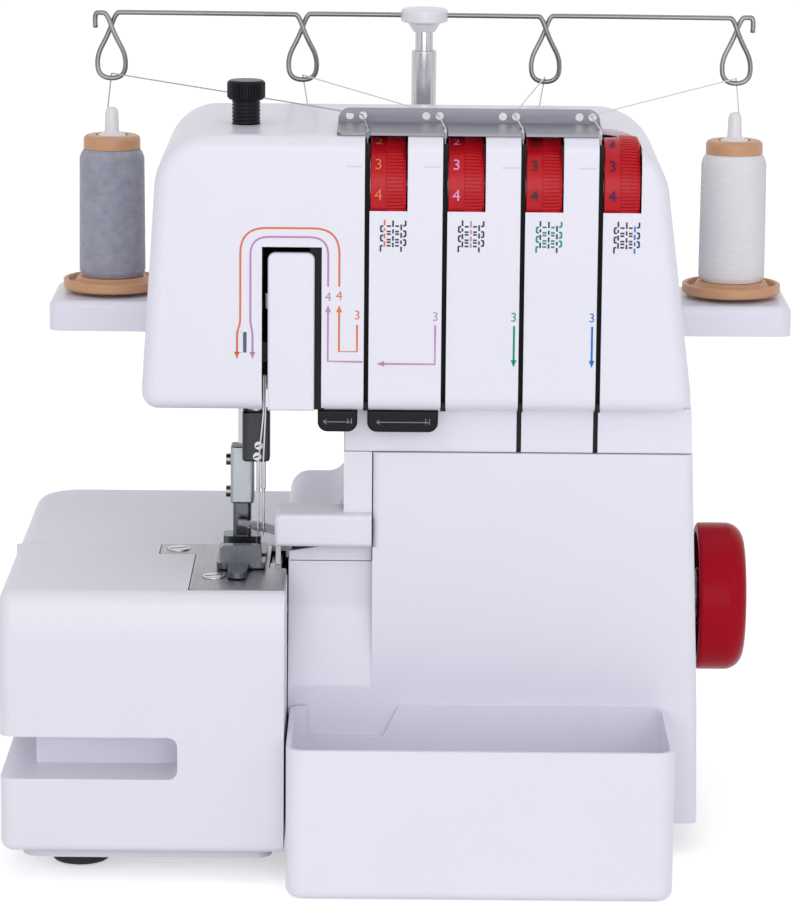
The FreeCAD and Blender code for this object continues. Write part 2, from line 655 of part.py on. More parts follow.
def cloth_plate():
    """Front bed block that swings open to the left, with its finger groove."""
    door = Piece("cloth_plate")
    door.pad("YZ", S.bed_left, S.bed_right, [
        (0, S.case_bottom, 3), (S.bed_split, S.case_bottom), (S.bed_split, S.bed_top),
        (3.5, S.bed_top, 7), (0, S.bed_top - S.bed_nose, 45)])
    door.round(5, either(on(x=S.bed_left, y=0), on(x=S.bed_left, z=S.bed_top)))
    skin = S.wall
    door.cut("YZ", S.bed_left + skin, S.bed_right - skin, [
        (skin, 0), (S.bed_split + 1, 0), (S.bed_split + 1, S.bed_top - skin),
        (3.5 + skin, S.bed_top - skin, 4.5), (skin, S.bed_top - S.bed_nose - 1, 42)])
    deep = 25
    side = S.bed_left + 13
    door.pad("XY", S.groove_low - skin, S.groove_high + skin, [
        (S.bed_left, 0, 5), (S.groove_right + skin, 0), (S.groove_right + skin, deep + skin),
        (side + skin, deep + skin), (side + skin, 70 + skin), (S.bed_left, 70 + skin)])
    door.cut("XZ", -1, deep, [
        (S.bed_left - 5, S.groove_low), (S.groove_right, S.groove_low, 4),
        (S.groove_right, S.groove_high, 4), (S.bed_left - 5, S.groove_high)])
    door.cut("XZ", -1, 70, box(S.bed_left - 5, side, S.groove_low, S.groove_high))
    gap = S.seam
    door.cut("XY", plate_low - 0.5, S.bed_top + 5, [
        (S.plate_left - gap, S.plate_front - gap), (S.bed_right + 5, S.plate_front - gap),
        (S.bed_right + 5, S.bed_split + 5), (S.wing_left - gap, S.bed_split + 5),
        (S.wing_left - gap, S.wing_front - gap), (S.plate_left - gap, S.wing_front - gap)])
    door.cut("XZ", S.cover_front - 0.4, S.bed_split + 5,
             box(S.bed_right - 9, S.bed_right + 5, 0, S.bed_top + 5))
    door.cut("XY", 0, S.bed_top + 5, box(S.bed_left - 5, pivot_x, pivot_y, S.bed_split + 5))
    tabs = (S.case_bottom + 5, S.bed_top - 15)
    door.pad("XY", tabs[0], tabs[1], ring(pivot_x, pivot_y, S.door_pin + 1.5))
    door.pad("XY", S.bed_top - 9.5, S.bed_top, ring(pivot_x, pivot_y, S.door_pin + 1.5))
    door.cut("XY", S.case_bottom, S.bed_top - 8, ring(pivot_x, pivot_y, S.door_pin + S.run_fit))
    door.cut("XY", 0, tabs[0], box(S.bed_left - 5, pivot_x + 4, pivot_y - 3.6, S.bed_split + 5))
    door.cut("XY", tabs[1], S.bed_top - 9.5,
             box(S.bed_left - 5, pivot_x + 4, pivot_y - 3.6, S.bed_split + 5))


def head_front():
    """Front of the head with its thread slots and dial windows."""
    cover = Piece("head_front_cover")
    back = S.tub_front - S.seam
    cover.pad("XZ", S.head_front, back, [
        (S.waist_right - 0.3, S.head_bottom, 7), *head_side()])
    cover.round(S.head_edge, on(y=S.head_front))
    cover.hollow(S.wall, on(y=back))
    half = S.slot_width / 2
    deep = S.head_front + 8
    for index in range(4):
        x = slot_x(index)
        cover.cut("XZ", S.head_front - 1, deep,
                  box(x - half, x + half, S.head_bottom - 1, S.head_top + 1))
        cover.cut("XZ", S.head_front - 1, S.tub_front,
                  box(x - half, x + half, S.head_top - 12, S.head_top + 1))
        left = x + 0.7
        cover.cut("XZ", S.head_front - 1, S.tub_front,
                  box(left, left + S.dial_width + 1.2, S.dial_z - 8.6, S.head_top + 1))
        cover.cut("XZ", S.head_front + 0.6, S.tub_front,
                  box(left, left + S.dial_width + 1.2, S.dial_z - 14, S.dial_z))
    cover.cut("XZ", S.head_front - 1, S.tub_front,
              box(S.take_up_left - 2.4, S.take_up_right + 2.9, S.head_bottom - 1, S.take_up_top + 2.4))
    cover.cut("XZ", S.head_front - 1, S.head_front + 4, box(-64.9, -63.1, 212, 221, 0.85))
    cover.cut("XY", S.head_bottom - 1, S.head_bottom + 7, box(-72, -48, 45, S.tub_front + 1))
    guard = Piece("take_up_cover")
    guard.pad("XZ", S.head_front, S.head_front + S.wall, [
        (S.take_up_left, S.head_bottom + 0.2), (S.take_up_right, S.head_bottom + 0.2),
        (S.take_up_right, S.take_up_top, 3), (S.take_up_left, S.take_up_top, 3)])
    guard.round(1, on(y=S.head_front))
    guard.pad("XZ", S.head_front + 1, 50, box(-46, -40, S.head_bottom + 18, S.head_bottom + 26))
    strip = Piece("front_panel")
    low = S.cover_top + S.seam
    high = S.head_bottom - S.seam
    strip.pad("XZ", S.tub_front - 2.2, S.tub_front,
              [(S.column_left, low), (S.waist_right + 0.5, low), (S.waist_right - 0.3, high),
               (S.column_left, high)])
    strip.round(1, on(x=S.column_left, y=S.tub_front - 2.2))
    strip.pad("XZ", S.tub_front - 1, S.tub_front + 2,
              box(S.column_left + 5, S.waist_right - 8, low + 4, high - 4, 2))
    for index in (2, 3):
        x = slot_x(index)
        strip.cut("XZ", S.tub_front - 3, S.tub_front, box(x - half, x + half, low - 1, high + 1))


def front_covers():
    """Looper cover with its chute, the knife cover and the waste tray."""
    cover = Piece("looper_cover")
    left = S.bed_right + S.seam
    notch = S.ledge_low - S.seam
    right_low = S.body_right - 0.3
    right_high = S.waist_right + 0.8
    cover.pad("XZ", S.cover_front, S.cover_back, [
        (left, S.case_bottom), (right_low, S.case_bottom), (right_low - 0.9, 60),
        (right_high, S.cover_top), (S.panel_left, S.cover_top), (S.panel_left, notch), (left, notch)])
    cover.round(3, either(on(y=S.cover_front, x=left), on(y=S.cover_front, x=S.panel_left)))
    lean = [e for e in cover.edges(on(y=S.cover_front))]
    rims = cover.body.Tip.Shape
    sloped = [n for n in lean if rims.getElement(n).BoundBox.XMin > number(S.waist_right)
              and rims.getElement(n).BoundBox.ZLength > 20]
    cover.round(4, lambda e: any(e.isSame(rims.getElement(n)) for n in sloped))
    skin = S.wall
    cover.cut("XZ", S.cover_front + skin, S.cover_back + 1, [
        (left - 5, S.case_bottom - 5), (right_low - skin, S.case_bottom - 5), (right_low - 0.9 - skin, 60),
        (right_high - skin, S.cover_top - skin), (S.panel_left + skin, S.cover_top - skin),
        (S.panel_left + skin, notch + 1), (left - 5, notch + 1)])
    cover.cut("XZ", S.cover_front - 1, S.cover_back,
              [(left - 1, S.chute_low), (S.panel_left, S.chute_low, 6),
               (S.panel_left, notch + 1), (left - 1, notch + 1)])
    slope = S.cover_back - 1.2
    cover.pad("YZ", left, S.panel_left, [
        (S.cover_front, S.chute_low - 6), (S.cover_front + 2.5, S.chute_low - 6),
        (slope, S.chute_high - 20, 20), (slope, S.chute_high), (slope - 2.4, S.chute_high),
        (slope - 2.4, S.chute_high - 20, 20), (S.cover_front, S.chute_low + 6, 8)])
    for x in (S.panel_left - 8, S.panel_left + 60, S.panel_left + 100):
        cover.pad("YZ", x, x + 5, box(S.cover_front + 1, hinge_y, hinge_z - 3, hinge_z + 3))
        cover.pad("YZ", x, x + 5, ring(hinge_y, hinge_z, S.hinge_pin + 1.6))
        cover.cut("YZ", x - 1, x + 6, ring(hinge_y, hinge_z, S.hinge_pin + S.run_fit))
    cover.cut("YZ", S.waist_right - 30, S.body_right + 1,
              box(S.cover_back - 2.5, S.cover_back + 1, S.case_bottom - 1, hinge_z + 3))
    hood = Piece("knife_cover")
    end = S.panel_left - S.seam
    hood.pad("XZ", S.ledge_front, 66, [
        (S.ledge_left, S.ledge_low), (end, S.ledge_low), (end, S.ledge_high), (S.ledge_left, S.ledge_high, 3)])
    hood.round(2, either(on(y=S.ledge_front, z=S.ledge_high), on(y=S.ledge_front, z=S.ledge_low)))
    hood.cut("XZ", S.ledge_front + S.wall, 70, box(S.ledge_left - 1, end + 1, S.ledge_low - 1, S.ledge_high - 2.4))
    hood.pad("XZ", S.tub_front - 2, S.tub_front, box(S.column_left, end, S.ledge_high - 2, S.cover_top))
    hood.pad("YZ", S.column_left, S.column_left + 2.2,
             box(S.tub_front - 1, S.cover_back + S.seam, 150.5, S.cover_top))
    tray = Piece("waste_tray")
    tray.pad("XY", 0, S.tray_rim, box(S.tray_left, S.tray_right, S.tray_front, S.tray_back, 7))
    tray.round(4, on(z=0))
    tray.hollow(S.tray_wall, on(z=S.tray_rim))
    tray.cut("XZ", S.tray_back - 3, S.tray_back + 1, [
        (S.tray_left + 7, S.tray_rim - 13, 3), (-5, S.tray_rim - 13, 3), (1.5, S.tray_rim + 1),
        (S.tray_left + 7, S.tray_rim + 1)])


def needle_area():
    """Needle plate, feed dog, knives and loopers."""
    plate = Piece("needle_plate")
    plate.pad("XY", plate_low, S.bed_top, [
        (S.plate_left, S.plate_front, 1.5), (S.bed_right - 0.3, S.plate_front, 1.5), (S.bed_right - 0.3, 47.3, 1.5),
        (S.blade_x - 2.4, 47.3, 1), (S.blade_x - 2.4, S.bed_split, 1.5), (S.wing_left, S.bed_split, 1.5),
        (S.wing_left, S.wing_front, 1.5), (S.plate_left, S.wing_front, 1)])
    plate.cut("XY", plate_low - 1, S.bed_top + 1, box(-59.6, -54.4, 56.4, 59.6, 1.2),
              box(-70, -66.6, 40, 86, 1), box(-65, -61.6, 40, 86, 1))
    plate.cut("XY", S.bed_top - 1.2, S.bed_top + 1, *[ring(x, y, 4.9) for x, y in plate_screws])
    plate.cut("XY", plate_low - 1, S.bed_top + 1, *[ring(x, y, S.plate_screw) for x, y in plate_screws])
    heads = Piece("needle_plate_screws")
    heads.pad("XY", S.bed_top - 1.2, S.bed_top + 0.6, *[ring(x, y, 4.7) for x, y in plate_screws])
    heads.round(0.5, on(z=S.bed_top + 0.6))
    heads.pad("XY", S.bed_top - 8, S.bed_top - 1.2, *[ring(x, y, S.plate_screw) for x, y in plate_screws])
    feed = Piece("feed_dogs")
    pitch = 2.0
    low = S.bed_top - 9.4
    teeth = [(44.0, low), (82.0, low)]
    for k in range(19):
        teeth.append((82.0 - k * pitch, S.bed_top - 0.2))
        teeth.append((81.0 - k * pitch, S.bed_top - 1.4))
    teeth.append((44.0, S.bed_top - 0.2))
    for x in (-69.6, -64.6):
        feed.pad("YZ", x, x + 2.6, teeth)
    feed.pad("XY", low, low + 2.8, box(-69.6, -62.0, 70, 114, 1))
    fixed = Piece("lower_knife")
    edge = S.blade_x
    fixed.pad("YZ", edge - 2, edge, box(48, 58.4, S.bed_top - 12, S.bed_top - 0.4))
    fixed.pad("XZ", 58, web_front, box(edge - 2, edge + 2.2, S.bed_top - 9, S.bed_top - 4))
    moving = Piece("upper_knife")
    x = S.knife_x
    z = S.knife_z
    moving.pad("XZ", 50, 59, [(edge + 0.2, z - 3.5, 2), (x, z - 4), (x, z + 4), (edge + 0.2, z + 3.5, 2)])
    moving.pad("XZ", 50, 62, ring(x, z, S.knife_shaft + 1))
    moving.pad("XZ", 60, web_back, ring(x, z, S.knife_shaft))
    moving.pad("YZ", edge + 0.4, edge + 2.4, [(50, z - 2), (50, S.bed_top + 1), (57, S.bed_top - 1), (57, z - 2)])
    upper = Piece("upper_looper")
    x = S.upper_looper_x
    z = S.upper_looper_z
    upper.turn("YZ", (x, 0, z), "H", box(62, 64.4, 49.2, 52.8), angle=100)
    upper.cut("XZ", 61, 66, [(x - 2, z + 47), (x + 11, z + 47), (x + 2, z + 50.6), (x - 2, z + 50.6)])
    upper.cut("XZ", 61, 66, ring(x + 5, z + 50.2, 0.55))
    upper.pad("XZ", 62, 66, [(x, z - 3.5), (x + 48, z - 12.5, 3), (x + 51.5, z - 6, 2), (x, z + 4.5)])
    upper.pad("XZ", 62, 74, ring(x, z, S.looper_shaft + 4))
    upper.pad("XZ", 73, web_back, ring(x, z, S.looper_shaft))
    lower = Piece("lower_looper")
    x = S.lower_looper_x
    z = S.lower_looper_z
    lower.turn("YZ", (x, 0, z), "H", box(59.2, 61.2, 58, 61), angle=35)
    lower.turn("YZ", (x, 0, z), "H", box(59.2, 61.2, 58, 61), angle=12, back=True)
    lower.cut("XZ", 58, 63, ring(x + 31, z + 48.8, 0.5))
    lower.pad("XZ", 59.2, 61.2, [(x - 15, z + 58), (x - 9, z + 59.5), (x + 4, z), (x - 4, z)])
    lower.pad("XZ", 59.2, 72, ring(x, z, S.looper_shaft + 4))
    lower.pad("XZ", 71, web_back, ring(x, z, S.looper_shaft))


def needle_bar():
    """Needle bar, clamp, needles and set screws."""
    bar = Piece("needle_bar")
    bar.pad("XY", S.needle_tip + 42, S.head_top - 14, ring(S.needle_x, S.needle_y, S.needle_bar_radius))
    bar.round(0.6, on(z=S.head_top - 14))
    low = S.needle_tip + 33
    needles_x = (S.needle_x + 0.8, S.needle_x + 0.8 + S.needle_gap)
    clamp = Piece("needle_clamp")
    clamp.pad("XY", low, low + 21, box(S.needle_x - 5.7, S.needle_x + 5.7, S.needle_y - 6, S.needle_y + 6, 2.5))
    clamp.round(1, either(on(z=low), on(z=low + 21)))
    clamp.cut("XY", low + 9, low + 22, ring(S.needle_x, S.needle_y, S.needle_bar_radius))
    clamp.cut("XY", low - 1, low + 6, *[ring(x, S.needle_y, 0.95) for x in needles_x])
    spots = ((S.needle_x + 0.6, low + 2.6), (S.needle_x + 1.2, low + 7.2))
    clamp.cut("XZ", S.needle_y - 7, S.needle_y - 1.5, *[ring(x, z, 1.0) for x, z in spots])
    pair = Piece("needles")
    for x in needles_x:
        pair.turn("XZ", (x, S.needle_y, 0), "V", [
            (0, S.needle_tip), (0.5, S.needle_tip + 4), (0.5, S.needle_tip + 19),
            (0.95, S.needle_tip + 21), (0.95, low + 6), (0, low + 6)])
    fixing = Piece("needle_set_screws")
    fixing.pad("XZ", S.needle_y - 7.4, S.needle_y - 6, *[ring(x, z, 1.7) for x, z in spots])
    fixing.pad("XZ", S.needle_y - 6.2, S.needle_y - 1.6, *[ring(x, z, 1.0) for x, z in spots])


def presser():
    """Presser bar, foot, spring, pressure screw and lifter."""
    x = S.presser_x
    y = S.presser_y
    bar = Piece("presser_bar")
    joint = S.foot_joint
    lug_low = S.lifter_z + 3.8
    bar.pad("XY", joint + 7.5, S.spring_high + 9.8, ring(x, y, S.presser_radius))
    bar.pad("XY", lug_low, S.lug_high, box(x - 5, x + 15.2, y - 6, y + 6, 2))
    holder = Piece("presser_foot_holder")
    holder.pad("XY", joint, S.holder_top, box(x - 6.1, x + 3.6, y - 6.5, y + 5, 1.5))
    holder.round(0.8, either(on(z=S.holder_top), on(z=joint)))
    holder.cut("XY", joint + 7.5, S.holder_top + 1, ring(x, y, S.presser_radius))
    spots = ((y, joint + 3.9), (y, S.holder_top - 6.5))
    holder.cut("YZ", x - 7, x - 3.3, *[ring(a, b, 1.2) for a, b in spots])
    fixing = Piece("presser_screws")
    fixing.pad("YZ", x - 8.1, x - 6.1, *[ring(a, b, 2.4) for a, b in spots])
    fixing.pad("YZ", x - 6.2, x - 3.4, *[ring(a, b, 1.2) for a, b in spots])
    foot = Piece("presser_foot")
    low = S.bed_top + 0.7
    foot.pad("XY", low, low + 2.4, [
        (-68.5, 25, 3), (-61.5, 25, 3), (-60.5, 44, 2), (-54, 44, 2), (-54, 54.6, 0.5), (-60.6, 54.6, 1),
        (-60.6, 61.4, 1), (-54, 61.4, 0.5), (-54, 82, 3), (-74, 82, 3), (-74, 42, 3), (-69.5, 42, 1)])
    foot.pad("XZ", 43, 48, box(-72.5, -55.5, low + 1, low + 9.6, 2))
    foot.pad("XY", low + 1, joint, box(x - 5, x + 2.4, y - 6, y + 4, 1.5))
    foot.pad("XY", low + 1, low + 8, box(x - 9, x + 6.5, 68, 79.5, 2))
    seat = Piece("spring_seat")
    seat.pad("XY", S.spring_high, S.spring_high + 2, ring(x, y, 7), ring(x, y, S.presser_radius + S.run_fit))
    screw = Piece("pressure_screw")
    screw.pad("XY", S.spring_high + 2.2, S.knob_top - 7,
              ring(x, y, S.knob_stem), ring(x, y, S.presser_radius + 0.6))
    screw.pad("XY", S.knob_top - 8, S.knob_top, ring(x, y, S.knob_radius))
    screw.round(0.9, either(on(z=S.knob_top), on(z=S.knob_top - 8)))
    lifter = Piece("presser_lifter")
    a = S.lifter_x
    b = S.lifter_z
    lifter.pad("XZ", 70, S.tub_back + 5, ring(a, b, S.lifter_shaft))
    lifter.pad("XZ", 70, 80, box(a - 8, a, b - 2, b + 2, 1))
    lifter.pad("XZ", S.tub_back + 1, S.tub_back + 6, [
        (a - 4.5, b + 4.5, 4), (a + 4.5, b + 4.5, 4), (a + 4.5, b - 7, 12), (a - 16, b - 45, 4),
        (a - 24.5, b - 42, 4), (a - 4.5, b - 5, 12)])
    lifter.round(1.2, on(y=S.tub_back + 6))


def drive():
    """Main shaft, handwheel, motor and belt."""
    axis = (0, S.shaft_y, S.shaft_z)
    shaft = Piece("main_shaft")
    shaft.pad("YZ", S.bush_left - 4, S.wheel_left + 13, ring(S.shaft_y, S.shaft_z, S.shaft_radius))
    for x, offset in ((-14, 3), (2, -3)):
        shaft.pad("YZ", x, x + 7, ring(S.shaft_y + offset, S.shaft_z, 13))
    bushes = Piece("shaft_bushes")
    for x in (S.bush_left, S.bush_right):
        bushes.pad("YZ", x, x + S.bush_length, ring(S.shaft_y, S.shaft_z, S.shaft_radius + S.bush_wall),
                   ring(S.shaft_y, S.shaft_z, S.shaft_radius + S.run_fit))
    wheel = Piece("handwheel")
    left = S.wheel_left
    right = S.wheel_left + S.wheel_width
    wheel.turn("XZ", axis, "H", [
        (left, S.shaft_radius), (left, 12, 1), (left + 13.5, 12, 2), (left + 13.5, S.wheel_radius - 4, 2),
        (left, S.wheel_radius - 4), (left, S.wheel_radius, 1.5), (right, S.wheel_radius, 8),
        (right, 0), (left + 13, 0), (left + 13, S.shaft_radius)])
    start = S.belt_left
    finish = S.belt_left + S.belt_width
    pulley = Piece("drive_pulley")
    pulley.turn("XZ", axis, "H", [
        (start - 1.5, S.shaft_radius), (start - 1.5, S.big_pulley + 2), (start - 0.4, S.big_pulley + 2),
        (start - 0.4, S.big_pulley), (finish + 0.4, S.big_pulley), (finish + 0.4, S.big_pulley + 2),
        (finish + 1.5, S.big_pulley + 2), (finish + 1.5, S.shaft_radius)])
    motor = Piece("motor")
    motor.pad("YZ", 10, 94, ring(S.motor_y, S.motor_z, S.motor_radius))
    motor.round(3, either(on(x=10), on(x=94)))
    motor.pad("XY", base_top, S.motor_z - 20, box(18, 86, S.motor_y - 17, S.motor_y + 17, 3))
    motor.cut("YZ", 86, 96, ring(S.motor_y, S.motor_z, S.motor_shaft + S.run_fit))
    rotor = Piece("motor_pulley")
    rotor.turn("XZ", (0, S.motor_y, S.motor_z), "H", [
        (88, 0), (88, S.motor_shaft), (start - 1.5, S.motor_shaft), (start - 1.5, S.small_pulley + 2),
        (start - 0.4, S.small_pulley + 2), (start - 0.4, S.small_pulley), (finish + 0.4, S.small_pulley),
        (finish + 0.4, S.small_pulley + 2), (finish + 1.5, S.small_pulley + 2), (finish + 1.5, 0)])
    belt = Piece("drive_belt")
    gap = 0.15
    loops = [("belt", (S.shaft_y, S.shaft_z, S.big_pulley + rise), (S.motor_y, S.motor_z, S.small_pulley + rise))
             for rise in (gap, gap + 1.5)]
    belt.pad("YZ", start, finish, *loops)


def tension():
    """Dials, discs, their bracket and the steel thread guides of the head."""
    bracket = Piece("tension_bracket")
    bracket.pad("XZ", 80, 82.5, box(S.slot_first - 13, slot_x(3) + 11, S.dial_z - 17, S.dial_z + 13, 4))
    for x in (2, 78):
        bracket.pad("XZ", 82, web_front, box(x, x + 8, 272, 286))
    for index in range(4):
        x = slot_x(index)
        bracket.pad("YZ", x - 9.5, x - 7.5, box(48, 81, S.dial_z - 8, S.dial_z + 8))
        bracket.pad("YZ", x - 9.5, x + 16.4, ring(S.dial_y, S.dial_z, S.post_radius))
    discs = Piece("tension_discs")
    for index in range(4):
        for start in (-1.45, 0.25):
            x = slot_x(index) + start
            discs.pad("YZ", x, x + 1, ring(S.dial_y, S.dial_z, S.disc_radius),
                      ring(S.dial_y, S.dial_z, S.post_radius + S.run_fit))
    names = ("left_needle_dial", "right_needle_dial", "upper_looper_dial", "lower_looper_dial")
    for index, name in enumerate(names):
        dial = Piece(name)
        x = slot_x(index) + 1.3
        dial.turn("XZ", (x, S.dial_y, S.dial_z), "H", [
            (0, S.post_radius + S.run_fit), (0, S.dial_radius - 0.6, 0.5), (6.3, S.dial_radius - 0.3),
            (6.6, S.dial_radius), (10, S.dial_radius), (S.dial_width, S.dial_radius - 0.8, 0.8),
            (S.dial_width, S.post_radius + S.run_fit)])
    guide = Piece("thread_guide_plate")
    top = S.head_top
    guide.pad("XY", top, top + 1, box(-25.5, 82, 40, 77, 2))
    guide.pad("XZ", 76, 77, [(-25.5, top + 0.5), (82, top + 0.5), (82, top + 6.8, 5), (-25.5, top + 6.8, 5)])
    for index in range(4):
        x = slot_x(index)
        guide.cut("XY", top - 1, top + 2, box(x - 1, x + 1, 35, 62))
        guide.cut("XZ", 75, 78, ring(x - 7.6, top + 3.6, 1.65), ring(x - 2.2, top + 3.6, 1.65))
    lower = Piece("lower_thread_guides")
    high = S.head_bottom
    for left, right in ((-32.7, -16.5), (-12.5, 16.4)):
        lower.pad("XZ", S.head_front + 3.5, S.head_front + 7, [
            (left, high), (right, high), (right, high - 9, 4), (left, high - 9, 4)])
    lower.round(1, on(y=S.head_front + 3.5))


def spool_stand():
    """Stand, pins, spools and the telescope thread guide."""
    stand = Piece("spool_stand")
    stand.pad("XY", S.stand_low, S.stand_high, [
        (S.stand_left, S.stand_front, 6), (S.mast_x - 25, S.stand_front), (S.mast_x - 25, S.tub_back),
        (S.mast_x + 25, S.tub_back), (S.mast_x + 25, S.stand_front), (S.stand_right, S.stand_front, 6),
        (S.stand_right, S.stand_back, 6), (S.stand_left, S.stand_back, 6)])
    stand.round(2.8, either(on(z=S.stand_high, y=S.stand_front), on(z=S.stand_high, y=S.stand_back)))
    stand.hollow(2.2, on(z=S.stand_low))
    stand.pad("XY", S.stand_high - 1, S.stand_high + 9, ring(S.mast_x, S.spool_y, 8.5),
              ring(S.mast_x, S.spool_y, S.mast_low_radius))
    pins = Piece("spool_pins")
    cores = Piece("spool_cores")
    packs = Piece("thread_packs")
    base_z = S.stand_high
    for index in range(4):
        place = (spool_x(index), S.spool_y, 0)
        pins.turn("XZ", place, "V", [
            (0, base_z), (9, base_z), (9, base_z + 1.6), (5, base_z + 3), (5, S.core_top - 5), (6.2, S.core_top - 4),
            (6.2, S.core_top), (3.4, S.core_top + 6), (3, S.pin_top, 1.5), (0, S.pin_top)])
        bottom = base_z + 1.7
        cores.turn("XZ", place, "V", [
            (9.5, bottom), (S.core_radius, bottom, 1.2), (S.core_radius, bottom + 4.6, 0.8),
            (S.core_radius - 2, bottom + 4.6, 0.8), (S.core_radius - 2.6, bottom + 2.4),
            (S.pack_radius + 3, bottom + 2.4), (S.pack_radius + 0.6, S.pack_low), (11, S.pack_low),
            (11, S.pack_high), (12.4, S.pack_high), (12.4, S.core_top, 2), (7, S.core_top), (7, bottom + 6),
            (9.5, bottom + 5)])
        packs.turn("XZ", place, "V", [
            (11, S.pack_low), (S.pack_radius + 0.5, S.pack_low, 1.5), (S.pack_radius, S.pack_high, 2.5),
            (11, S.pack_high)])
    tube = Piece("antenna_lower_tube")
    tube.pad("XY", S.stand_high, S.mast_step, ring(S.mast_x, S.spool_y, S.mast_low_radius),
             ring(S.mast_x, S.spool_y, S.mast_high_radius + S.run_fit))
    tube.round(0.4, on(z=S.mast_step))
    inner = Piece("antenna_upper_tube")
    inner.pad("XY", S.stand_high + 4, S.rail_z - 7, ring(S.mast_x, S.spool_y, S.mast_high_radius),
              ring(S.mast_x, S.spool_y, S.mast_high_radius - 0.8))
    cap = Piece("antenna_cap")
    cap.turn("XZ", (S.mast_x, S.spool_y, 0), "V", [
        (0, S.rail_z - 7), (4.8, S.rail_z - 7), (7, S.rail_z - 3.5), (10.2, S.rail_z - 2.6, 0.8),
        (10.2, S.rail_z + 3, 1.5), (0, S.rail_z + 3)])
    cap.cut("YZ", S.mast_x - 12, S.mast_x + 12, ring(S.spool_y, S.rail_z, S.rail_radius + 0.2))


def rounded_path(spots, radii):
    """Edges of a path of straight runs joined by tangent arcs."""
    edges = []
    here = spots[0]
    for i in range(1, len(spots) - 1):
        toward = (spots[i - 1] - spots[i]).normalize()
        onward = (spots[i + 1] - spots[i]).normalize()
        half = toward.getAngle(onward) / 2
        reach = radii[i] / math.tan(half)
        arrive = spots[i] + toward * reach
        leave = spots[i] + onward * reach
        middle = (toward + onward).normalize()
        crown = spots[i] + middle * (radii[i] / math.sin(half) - radii[i])
        edges.append(Part.LineSegment(here, arrive).toShape())
        edges.append(Part.Arc(arrive, crown, leave).toShape())
        here = leave
    edges.append(Part.LineSegment(here, spots[-1]).toShape())
    return edges


def tube_along(spots, radii, radius):
    """A round bar along a rounded path, checked against its length."""
    edges = rounded_path(spots, radii)
    spine = Part.Wire(edges)
    heading = edges[0].tangentAt(edges[0].FirstParameter)
    circle = Part.Wire(Part.Circle(spots[0], heading, radius).toShape())
    solid = spine.makePipeShell([circle], True, False)
    expected = spine.Length * math.pi * radius ** 2
    smallest = min(e.Curve.Radius for e in edges if isinstance(e.Curve, Part.Circle))
    print(f"path {spine.Length:.1f} mm, bend {smallest:.2f}, volume ratio {solid.Volume / expected:.4f}")
    return solid


class Shaped:
    """A bent bar or a cord, whose path no sketch can hold."""

    def __init__(self, label, solids):
        self.label = label
        self.body = DOC.addObject("Part::Feature", label)
        self.body.Label = label
        self.body.Shape = solids[0] if len(solids) == 1 else Part.makeCompound(solids)
        bind(self.body, "Placement.Base.x", -S.centre_x)
        bind(self.body, "Placement.Base.y", -S.centre_y)
        Piece.made.append(self)


def loop_spots(x, side, z):
    """Corners and bend radii of one hanging loop, entered from the post side."""
    half = number(S.loop_half)
    drop = number(S.loop_drop)
    y = number(S.spool_y)
    wire = number(S.rail_radius) + 0.25
    corners = [
        (-3.4, wire, 0.0, 2.0), (half + 0.6, wire * 0.4, 11.5 - drop, 4.5), (half - 2.4, 0.0, -drop, 5.0),
        (2.4 - half, 0.0, -drop, 5.0), (-half - 0.6, -wire * 0.4, 11.5 - drop, 4.5), (3.4, -wire, 0.0, 2.0)]
    return [(FreeCAD.Vector(x - side * a, y + b, z + c), r) for a, b, c, r in corners]


